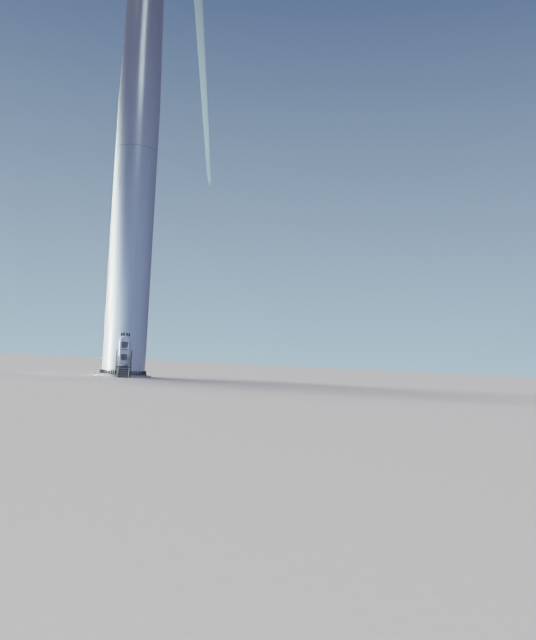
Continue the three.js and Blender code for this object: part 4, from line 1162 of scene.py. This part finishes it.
def slab(x, y, z, corner, edge):
    """A flat box standing on z[0], with round corners in plan and a rounded upper edge."""
    turn = np.radians(np.arange(0, 360, 10))
    bend = np.radians(np.linspace(0, 90, 5))
    inset = np.concatenate(([0.0], edge * (1 - np.cos(bend)), [corner * 0.98]))
    level_of = np.concatenate(([z[0]], z[1] - edge + edge * np.sin(bend), [z[1]]))[:, None]
    centre_x = np.where(np.cos(turn) >= -1e-9, x[1] - corner, x[0] + corner)
    centre_y = np.where(np.sin(turn) >= -1e-9, y[1] - corner, y[0] + corner)
    radius = (corner - inset)[:, None]
    points = np.stack((
        centre_x + radius * np.cos(turn), centre_y + radius * np.sin(turn), level_of + 0 * radius * turn,
    ), axis=-1)
    middle = ((x[0] + x[1]) / 2, (y[0] + y[1]) / 2)
    return grid(capped(points, ((*middle, z[0]), (*middle, z[1]))), around=True)


def fin_metal(place):
    """Dull aluminium fins, greyed by dust."""
    dust = place.stretched(2, 1).noise(1.5, 4.0)
    grey = dust.blend((0.16, 0.17, 0.18), (0.30, 0.30, 0.29))
    return {"Base Color": grey, "Roughness": 0.4 + dust * 0.25, "Metallic": 0.8 - dust * 0.4}


def lamp_lens(place):
    """Red glass, a little lighter on each rib."""
    bands = {"wave_type": "BANDS", "bands_direction": "Z"}
    rib = place.node("TexWave", bands, {"Vector": place, "Scale": 9.0})
    red = rib.blend((0.33, 0.012, 0.008), (0.62, 0.035, 0.02))
    return {"Base Color": red, "Roughness": 0.10 + rib * 0.1}


rear_back = block((0.05 - REAR_HALF, REAR_HALF - 0.05), (-0.004, 0.0), (REAR_LOW + 0.03, REAR_HIGH - 0.03))
rear_parts = (*louvre(REAR_HALF, REAR_LOW, REAR_HIGH, 0.0, REAR_DEPTH, REAR_BLADES, 0.06), rear_back)
rear_rim, *rear_blades = (placed(part, FACING_REAR, (REAR - 0.002, 0, 0)) for part in rear_parts)
on_nacelle("rear_louvre_rim", [rear_rim], cover_white, "cover_paint")
on_nacelle("rear_louvre_blades", rear_blades, louvre_blue, "louvre", "rear_louvre")

hinge_pins = [[(x - 0.09, -0.61, SEAT + 0.06), (x + 0.09, -0.61, SEAT + 0.06)] for x in (-2.85, -2.15)]
hatch_grip = bent([
    (-2.6, 0.45, SEAT + 0.11), (-2.6, 0.45, SEAT + 0.17),
    (-2.4, 0.45, SEAT + 0.17), (-2.4, 0.45, SEAT + 0.11),
], 0.03)
on_nacelle("roof_hatch_cover", [
    slab((-3.1, -1.9), (-0.6, 0.6), (SEAT, SEAT + 0.05), 0.09, 0.01),
    slab((-3.07, -1.93), (-0.57, 0.57), (SEAT + 0.045, SEAT + 0.12), 0.08, 0.035),
    *(swept(pin, round_bar(0.022)) for pin in hinge_pins), swept(hatch_grip, round_bar(0.012), (0, 1, 0)),
], cover_white, "cover_paint", "roof_hatch")

foot, top, cooler_middle = ROOF + COOLER_FOOT, ROOF + COOLER_TOP, sum(COOLER_X) / 2
bar_y, sill, head = COOLER_HALF - COOLER_BAR / 2, foot + COOLER_BAR / 2, top - COOLER_BAR / 2
casing_corners = ((-bar_y, sill), (bar_y, sill), (bar_y, head), (-bar_y, head))
corners = [(cooler_middle, *corner) for corner in casing_corners]
legs = [[(cooler_middle, y, SEAT), (cooler_middle, y, foot + 0.05)] for y in COOLER_LEGS]
on_nacelle("cooler_casing", [
    swept(corners, flat_bar(COOLER_BAR, 0.4, 0.015), (1, 0, 0), closed=True),
    *(swept(leg, flat_bar(0.1, 0.3, 0.012), (1, 0, 0)) for leg in legs),
    *(slab(COOLER_X, (y - 0.1, y + 0.1), (SEAT, SEAT + 0.02), 0.03, 0.005) for y in COOLER_LEGS),
], cover_white, "cover_paint", "cooler_frame")
core_span = (foot + COOLER_BAR, top - COOLER_BAR)
fin = block((COOLER_X[0] + 0.08, COOLER_X[1] - 0.08), (-0.002, 0.002), core_span)
pipe = swept([(0, -CORE_HALF, 0), (0, CORE_HALF, 0)], round_bar(0.012, 8))
pipe_heights = np.arange(core_span[0] + 0.06, core_span[1], PIPE_PITCH)
on_nacelle("cooler_fins", [
    copies(fin, [(0, y, 0) for y in np.arange(-1.22, 1.23, FIN_PITCH)]),
    copies(pipe, [(x, 0, z) for x in (-6.62, -6.48) for z in pipe_heights]),
    block((-6.56, -6.54), (-CORE_HALF, CORE_HALF), core_span),
], finish("fin_metal", fin_metal), "louvre", "cooler_core")

mast_tube = turned([
    (0, 0), (0.12, 0), (0.12, 0.012), (0.05, 0.02), (0.045, 0.04), (0.042, 0.9), (0.034, 0.92),
    (0.032, 1.62), (0.01, 1.66), (0, 1.66),
], 20)
sensor = turned([
    (0, 0), (0.022, 0), (0.022, 0.16), (0.045, 0.17), (0.045, 0.27), (0.02, 0.30), (0.012, 0.31),
    (0.012, 0.36), (0, 0.36),
], 20)
cup = turned([
    (0.0001, -0.032), (0.016, -0.028), (0.028, -0.016), (0.032, 0), (0.030, 0), (0.026, -0.014),
    (0.014, -0.026), (0.0001, -0.029),
], 14, ring=True)
mast = [
    placed(mast_tube, origin=(MAST_X, 0, SEAT)),
    swept([(MAST_X, -ARM_HALF, ARM_LEVEL), (MAST_X, ARM_HALF, ARM_LEVEL)], round_bar(0.022)),
    placed(copies(small_bolt, circle_of(6, 0.09, 0.012)[0]), origin=(MAST_X, 0, SEAT)),
    *(placed(sensor, origin=(MAST_X, y, ARM_LEVEL)) for y in (-SENSOR_Y, SENSOR_Y)),
]
cups_at = np.array((MAST_X, -SENSOR_Y, ARM_LEVEL + CUPS_ABOVE))
for cup_angle in (20, 140, 260):
    spin = turn_about(2, np.radians(cup_angle))
    arm_end = cups_at + spin @ np.array((CUP_ARM, 0, 0))
    mast.append(swept([cups_at, arm_end], round_bar(0.005, 6)))
    mast.append(placed(cup, spin @ turn_about(0, np.radians(90)), arm_end))
vane_at = np.array((MAST_X, SENSOR_Y, ARM_LEVEL + VANE_ABOVE))
vane_nose = turned([(0, -0.02), (0.014, -0.012), (0.014, 0.012), (0, 0.02)], 10)
mast += [
    swept([vane_at + VANE_NOSE, vane_at - (0.16, 0, 0)], round_bar(0.006, 6)),
    placed(vane_nose, origin=vane_at + VANE_NOSE),
    swept([vane_at - (0.06, 0, 0), vane_at - (0.19, 0, 0)], flat_bar(0.004, 0.12, 0.001)),
]
on_nacelle("wind_sensors", mast, galvanised, "galvanised", "wind_sensor_mast")

lamp_base = turned([
    (0, 0), (0.16, 0), (0.16, 0.1), (0.15, 0.115), (0.13, 0.12), (0.125, 0.14), (0, 0.14),
], 40)
lamp_bolts = copies(small_bolt, circle_of(6, 0.142, 0.118)[0])
base_parts = [placed(part, origin=LAMP_PLACE) for part in (lamp_base, lamp_bolts)]
ribs = [(0.12 - 0.004 * (k % 2), 0.14 + 0.013 * k) for k in range(13)]
lens_profile = [(0, 0.139), (0.12, 0.139), *ribs, (0.105, 0.33), (0.07, 0.36), (0.03, 0.376), (0, 0.38)]
lens = placed(turned(lens_profile, 48), origin=LAMP_PLACE)
red_glass = finish("lamp_glass", lamp_lens, Coat_Weight=0.6, Coat_Roughness=0.05)
on_nacelle("lamp_base", base_parts, dark_steel, "dark_steel")
on_nacelle("lamp_glass", [lens], red_glass, "lamp", "obstruction_light")

rear, front = RAIL_X
post_foot = turned([(0, 0), (0.055, 0), (0.055, 0.01), (0.03, 0.016), (0, 0.016)], 16)
for side, y in (("left", RAIL_Y), ("right", -RAIL_Y)):
    head, knee = SEAT + RAIL_HEIGHT, SEAT + RAIL_HEIGHT / 2
    loop = bent([(rear, y, SEAT), (rear, y, head), (front, y, head), (front, y, SEAT)], 0.1)
    rail = [
        swept(loop, round_bar(0.02), (0, 1, 0)),
        swept([(rear, y, knee), (front, y, knee)], round_bar(0.014), (0, 1, 0)),
    ]
    for x in np.linspace(rear, front, RAIL_POSTS):
        rail.append(placed(post_foot, origin=(x, y, SEAT)))
        rail.append(swept([(x, y, SEAT), (x, y, head)], round_bar(0.018), (0, 1, 0)))
    on_nacelle(f"roof_tube_rail_{side}", rail, galvanised, "galvanised", f"roof_rail_{side}")


# Spinner: a blunt nose moulded in glass fibre that widens to the blades, round the iron hub casting.
# It has a round opening with a rubber lip for each blade, and flat strips bolted over its joints.
SPINNER_RADIUS, SPINNER_REAR, SPINNER_NOSE, WIDEST_AT = 1.72, -1.4, 2.3, -0.1
SPINNER_DRAW, DRAW_LENGTH, SPINNER_WALL, SECTOR_END, OPENING = 0.22, 1.3, 0.05, 1.42, 1.03
CONE, PARKED_AZIMUTH, PARKED_PITCH = np.radians((2.5, 175, 17))
AZIMUTHS = PARKED_AZIMUTH + np.arange(3) * 2 * np.pi / 3
AROUND = 72
SECTOR_STEPS = AROUND // 4
# sections of a lip and of a cover strip: sideways, and out of the skin
LIP_SHAPE = np.array(
    ((-0.012, -0.05), (0.012, -0.05), (0.014, 0.008), (0.006, 0.016), (-0.006, 0.016), (-0.012, 0.008))
)
SEAM_SHAPE = np.array(((-0.055, -0.008), (-0.048, 0.012), (0.048, 0.012), (0.055, -0.008)))


def spinner_radius(x):
    """The spinner's radius along the shaft: a blunt curve ahead of the blades, a slight draw behind."""
    nose = SPINNER_RADIUS * (1 - ramp(x, WIDEST_AT, SPINNER_NOSE) ** 2) ** 0.4
    draw = SPINNER_DRAW * np.clip((WIDEST_AT - x) / DRAW_LENGTH, 0, 1) ** 1.8
    return np.where(x > WIDEST_AT, nose, SPINNER_RADIUS - draw)


def spinner_point(x, turn):
    """A point of the spinner's skin at a place along the shaft and an angle about it."""
    r = spinner_radius(x)
    return np.stack((x, -r * np.sin(turn), r * np.cos(turn)), axis=-1)


def opening_line(azimuth):
    """Where a round hole about a blade's axis meets the skin, found by sliding each point out along
    the blade until it reaches the skin, and the axis."""
    axes = turn_about(0, azimuth) @ turn_about(1, CONE)
    angle = np.arange(AROUND) * 2 * np.pi / AROUND
    circle = np.stack((OPENING * np.cos(angle), OPENING * np.sin(angle)), axis=-1) @ axes[:, :2].T
    out = np.full(AROUND, 1.3)
    for _ in range(40):
        point = circle + out[:, None] * axes[:, 2]
        out += 0.6 * (spinner_radius(point[:, 0]) - np.hypot(point[:, 1], point[:, 2]))
    return circle + out[:, None] * axes[:, 2], axes[:, 2]


def skin_line(x, turn):
    """Places on the spinner along a line of x and turn, and axes there: the line's own direction,
    sideways along the skin, and out of it."""
    here = spinner_point(x, turn)
    out_of_skin = np.cross(spinner_point(x, turn + 1e-3) - here, spinner_point(x + 1e-3, turn) - here)
    along_line = np.gradient(here, axis=0)
    along_line -= out_of_skin * ((along_line * out_of_skin).sum(-1) / (out_of_skin**2).sum(-1))[:, None]
    axes = np.stack((along_line, np.cross(out_of_skin, along_line), out_of_skin), axis=-1)
    return here, axes / np.linalg.norm(axes, axis=1, keepdims=True)


def skin_strip(x, turn, closed=False):
    """A flat cover strip on the spinner's skin along a line, with a bolt at every third place."""
    here, axes = skin_line(x, turn)
    points = here[:, None] + np.einsum("kij,nj->kni", axes[:, :, 1:], SEAM_SHAPE)
    strip = grid(points if closed else capped(points), around=True, along=closed)
    picked = np.arange(1, len(x) - 1, 3)
    return [strip, copies(small_bolt, here[picked] + 0.010 * axes[picked, :, 2], axes[picked])]


def on_rotor(name, parts, material, slot, *nodes):
    """A piece drawn in the shaft's own axes, riding on the rotor."""
    return fitted(name, [placed(part, SHAFT_AXES, HUB) for part in parts], material, "rotor", slot, *nodes)


# a third of the skin round each opening: rows that pass from the hole to the sector's four sides,
# which start halfway along one seam and run forwards, across, back and across again
x_steps = np.linspace(SPINNER_REAR, SECTOR_END, SECTOR_STEPS + 1)
turn_steps = np.linspace(-np.pi / 3, np.pi / 3, SECTOR_STEPS + 1)
halfway = SECTOR_STEPS // 2
rear_x, front_x = np.full(SECTOR_STEPS, x_steps[0]), np.full(SECTOR_STEPS, x_steps[-1])
start_turn, end_turn = np.full(SECTOR_STEPS, turn_steps[0]), np.full(halfway, turn_steps[-1])
sides = np.stack((
    np.concatenate((x_steps[halfway:-1], front_x, x_steps[:0:-1], rear_x, x_steps[:halfway])),
    np.concatenate((end_turn, turn_steps[:0:-1], start_turn, turn_steps[:-1], end_turn)),
), axis=-1)
outward_share = np.linspace(0, 1, 9)[:, None, None]
skin_parts, lips = [], []
for azimuth in AZIMUTHS:
    rim, axis = opening_line(azimuth)
    rim_turn = np.angle(np.exp(1j * (np.arctan2(-rim[:, 1], rim[:, 2]) - azimuth)))
    start = np.argmin(np.abs(rim[:, 0] - sides[0, 0]) + 10 * (rim_turn < 0))
    forward = 1 if rim[(start + 6) % AROUND, 0] >= rim[start, 0] else -1
    order = (start + forward * np.arange(AROUND)) % AROUND
    hole_line = np.stack((rim[order, 0], rim_turn[order]), axis=-1)
    flat = hole_line * (1 - outward_share) + sides * outward_share
    skin_parts.append(grid(spinner_point(flat[..., 0], flat[..., 1] + azimuth), around=True))
    outwards = rim - axis * (rim @ axis)[:, None]
    outwards /= np.linalg.norm(outwards, axis=-1, keepdims=True)
    lip = rim[:, None] + outwards[:, None] * LIP_SHAPE[:, :1] + axis * LIP_SHAPE[:, 1:]
    lips.append(grid(lip, around=True, along=True))
nose_turns = np.concatenate([turn_steps[:-1] + azimuth for azimuth in AZIMUTHS])
nose_length = SPINNER_NOSE - WIDEST_AT
nose_bend = np.linspace(np.arcsin((SECTOR_END - WIDEST_AT) / nose_length), np.pi / 2, 16)[:, None]
nose_x = WIDEST_AT + nose_length * np.sin(nose_bend)
skin_parts.append(grid(spinner_point(nose_x + 0 * nose_turns, nose_turns + 0 * nose_x), around=True))

seam_x = np.linspace(SPINNER_REAR + 0.05, SECTOR_END - 0.02, 34)
seams = [part for azimuth in AZIMUTHS for part in skin_strip(seam_x, 0 * seam_x + azimuth + np.pi / 3)]
ring_turns = np.arange(90) * 2 * np.pi / 90
seams += skin_strip(0 * ring_turns + SECTOR_END + 0.03, ring_turns, closed=True)
on_rotor("spinner_seams", seams, cover_white, "cover_paint")
spinner = on_rotor("spinner_skin", skin_parts, cover_white, "cover_paint", "spinner_shell")
spinner_wall = spinner.modifiers.new("wall", "SOLIDIFY")
spinner_wall.thickness = SPINNER_WALL * SCALE
spinner_wall.offset = -1.0
on_rotor("opening_lips", lips, black_plastic_and_shade, "louvre")
coated(dark_steel, "hub_casting", "main_bearing_housing", *(f"pitch_bearing_{k}" for k in (1, 2, 3)))


# Blades: three glass-fibre mouldings, round at the root and a thin twisted aerofoil outboard, with a
# film along the leading edge near the tip, lightning receptors, and a steel band and a drip ring
# round the root.
ROOT_RADIUS, BLADE_START, TIP_RADIUS = 0.95, 1.505, 57.65
ROOT_END, WIDEST, WIDEST_CHORD, CHORD_TAPER, TIP_ROUND = 3.5, 12.0, 3.5, 0.0595, 56.15
TWIST, BEND = np.radians(13), 0.3
FILM_SPAN, FILM_TURN, FILM_PROUD, FILM_SUNK = (38.0, 56.4), 30, 0.005, 0.004
RECEPTOR_RADII, RECEPTOR_TURN = (55.0, 42.0, 28.0), 1.25
TOWER_LAMPS = [name for name in PANELS if name not in ("upper_key", "back_high", "blade_key")]


def blade_points(radius, around):
    """Sections of the blade: radius is the distance from the hub and around the angle about each
    section, 0 at the leading edge. A circle at the root changes smoothly into an aerofoil of the
    common four-digit thickness with a light camber, turned by the twist and bent a little upwind."""
    r, a = np.asarray(radius, float)[:, None], np.asarray(around, float)[None]
    change = smooth(ramp(r, ROOT_END, WIDEST))
    taper = WIDEST_CHORD - CHORD_TAPER * np.maximum(0, r - WIDEST)
    tip = ramp(r, TIP_ROUND, TIP_RADIUS)
    chord = (2 * ROOT_RADIUS + (taper - 2 * ROOT_RADIUS) * change) * np.sqrt(1 - 0.97 * tip**2)
    outboard = 0.38 - 0.13 * ramp(r, WIDEST, 25) - 0.08 * ramp(r, 25, TIP_RADIUS)
    thick = np.where(r < WIDEST, 1 - 0.62 * change, outboard)
    along = (1 + np.cos(a)) / 2
    nose = 1 - along
    half = 5 * (
        0.2969 * np.sqrt(nose) - 0.126 * nose - 0.3516 * nose**2 + 0.2843 * nose**3 - 0.1015 * nose**4
    )
    foil = np.sign(np.sin(a)) * half * thick + 0.08 * nose * (1 - nose)
    x = chord * (along - 0.5 - 0.18 * change)
    y = chord * (np.sin(a) / 2 * thick * (1 - change) + foil * change)
    turn = -TWIST * (1 - ramp(r, WIDEST, TIP_RADIUS)) ** 1.6 * change
    upwind = BEND * ((r - BLADE_START) / (TIP_RADIUS - BLADE_START)) ** 2.5
    turned_x, turned_y = x * np.cos(turn) - y * np.sin(turn), x * np.sin(turn) + y * np.cos(turn)
    return np.stack((turned_x, turned_y - upwind, r + 0 * x), axis=-1)


def skin_frame(radius, turn):
    """A place on the blade's skin and axes there: along X across the blade, Y along it, Z outwards."""
    spots = ((radius, turn), (radius, turn + 0.02), (radius + 0.05, turn))
    here, across, onward = (blade_points([r], [a])[0, 0] for r, a in spots)
    out_of_skin = np.cross(across - here, onward - here)
    out_of_skin /= np.linalg.norm(out_of_skin)
    out_of_skin *= np.sign(out_of_skin @ (here - blade_points([radius], turns)[0].mean(axis=0)))
    along_blade = (onward - here) / np.linalg.norm(onward - here)
    return here, np.stack((np.cross(along_blade, out_of_skin), along_blade, out_of_skin), axis=-1)


def blade_paint(place):
    """White blade paint, worn and grey along the outer leading edge, with rain runs off the root.
    The mark fore is 1 on the leading edge and 0 on the trailing one, and out is the distance from
    the hub as a share of the blade."""
    fore = place.node("Attribute", {"attribute_name": "fore"}, {}, "Fac")
    out = place.node("Attribute", {"attribute_name": "out"}, {}, "Fac")
    cloud = place.noise(0.45, 4.0)
    speckle = place.noise(5.0, 4.0, 0.6)
    worn = fore.between(0.965, 0.998) * out.between(0.45, 0.8) * speckle.between(0.40, 0.62)
    film = place.noise(0.9, 5.0, 0.6).between(0.5, 0.85)
    soot = fore.between(0.80, 1.0) * out.between(0.3, 0.9) * 0.20 + film * 0.06
    root = out.between(0.12, 0.03) * place.noise(1.1, 4.0).between(0.40, 0.85)
    clean = cloud.blend((0.71, 0.79, 0.82), (0.77, 0.84, 0.865))
    dirty = (soot + root * 0.16).blend(clean, (0.30, 0.30, 0.29))
    return {
        "Base Color": (worn * 0.35).blend(dirty, (0.36, 0.37, 0.37)),
        "Roughness": 0.28 + cloud * 0.1 + worn * 0.2,
        "Relief": place.noise(1.2, 2.0) * 0.006 - worn * 0.001,
    }


def edge_film(place):
    """A thin grey film of tough plastic, scuffed and pitted by rain and grit."""
    pits = place.noise(9.0, 4.0, 0.6).between(0.5, 0.75)
    cloud = place.noise(2.0, 4.0)
    bare = cloud.blend((0.50, 0.52, 0.53), (0.60, 0.62, 0.62))
    worn = (pits * 0.3).blend(bare, (0.36, 0.36, 0.36))
    return {"Base Color": worn, "Roughness": 0.42 + cloud * 0.15 + pits * 0.2}


blade_white = finish("blade_paint", blade_paint, Coat_Weight=0.2, Coat_Roughness=0.15)
strip_film = finish("edge_film", edge_film)
stations = np.concatenate((
    [BLADE_START], np.linspace(1.6, WIDEST, 40), np.linspace(WIDEST, 54, 85)[1:],
    np.linspace(54, TIP_ROUND, 9)[1:],
    TIP_ROUND + (TIP_RADIUS - TIP_ROUND) * np.sin(np.linspace(0, np.pi / 2, 16))[1:],
))
turns = np.arange(AROUND) * 2 * np.pi / AROUND
skin = grid(capped(blade_points(stations, turns)), around=True)
all_radii = np.concatenate((stations[:1], stations, stations[-1:]))[:, None]
marks = {
    "fore": np.broadcast_to((1 + np.cos(turns)) / 2, (len(all_radii), AROUND)),
    "out": np.broadcast_to(all_radii / TIP_RADIUS, (len(all_radii), AROUND)),
}

film_turns = np.radians(np.linspace(-FILM_TURN, FILM_TURN, 21))
on_skin = blade_points(np.linspace(*FILM_SPAN, 56), film_turns)
strip_out = np.cross(np.gradient(on_skin, axis=1), np.gradient(on_skin, axis=0))
strip_out /= np.linalg.norm(strip_out, axis=-1, keepdims=True)
strip_out *= np.sign(strip_out[..., 0].mean())
strip_back = (on_skin - FILM_SUNK * strip_out)[:, ::-1]
strip = np.concatenate((on_skin + FILM_PROUD * strip_out, strip_back), axis=1)
edge_strip = grid(capped(strip), around=True)
receptor = turned([
    (0, -0.004), (0.05, -0.004), (0.05, 0.004), (0.042, 0.007), (0.012, 0.007), (0.01, 0.004), (0, 0.004),
], 20)
receptors = []
for radius in RECEPTOR_RADII:
    for turn in (RECEPTOR_TURN, -RECEPTOR_TURN):
        seat, seat_axes = skin_frame(radius, turn)
        receptors.append(placed(receptor, seat_axes, seat))
root_trim = [
    turned([
        (0.949, 2.62), (0.97, 2.62), (0.985, 2.64), (0.985, 2.66), (0.97, 2.68), (0.949, 2.68),
    ], AROUND, ring=True),
    turned([(0.949, 1.52), (0.958, 1.53), (0.958, 1.63), (0.949, 1.64)], AROUND, ring=True),
]

for index, body in enumerate(("blade_one", "blade_two", "blade_three")):
    axes = SHAFT_AXES @ turn_about(0, AZIMUTHS[index]) @ turn_about(1, CONE) @ turn_about(2, PARKED_PITCH)
    skin_here, strip_here = placed(skin, axes, HUB), placed(edge_strip, axes, HUB)
    trim_here = [placed(part, axes, HUB) for part in root_trim]
    discs_here = [placed(part, axes, HUB) for part in receptors]
    node = f"blade_{index + 1}"
    blade = fitted(
        f"{body}_skin", [skin_here], blade_white, body, "blade_paint", node, sharp=50, marks=marks
    )
    fitted(f"{body}_root_trim", trim_here, dark_steel, body, "dark_steel")
    film = fitted(f"{body}_edge_strip", [strip_here], strip_film, body, "blade_paint", sharp=50)
    lit_by(BLADE_LAMP, "INCLUDE", blade, film)
    lit_by(TOWER_LAMPS, "EXCLUDE", blade, film)
    fitted(f"{body}_receptors", discs_here, galvanised, body, "galvanised")
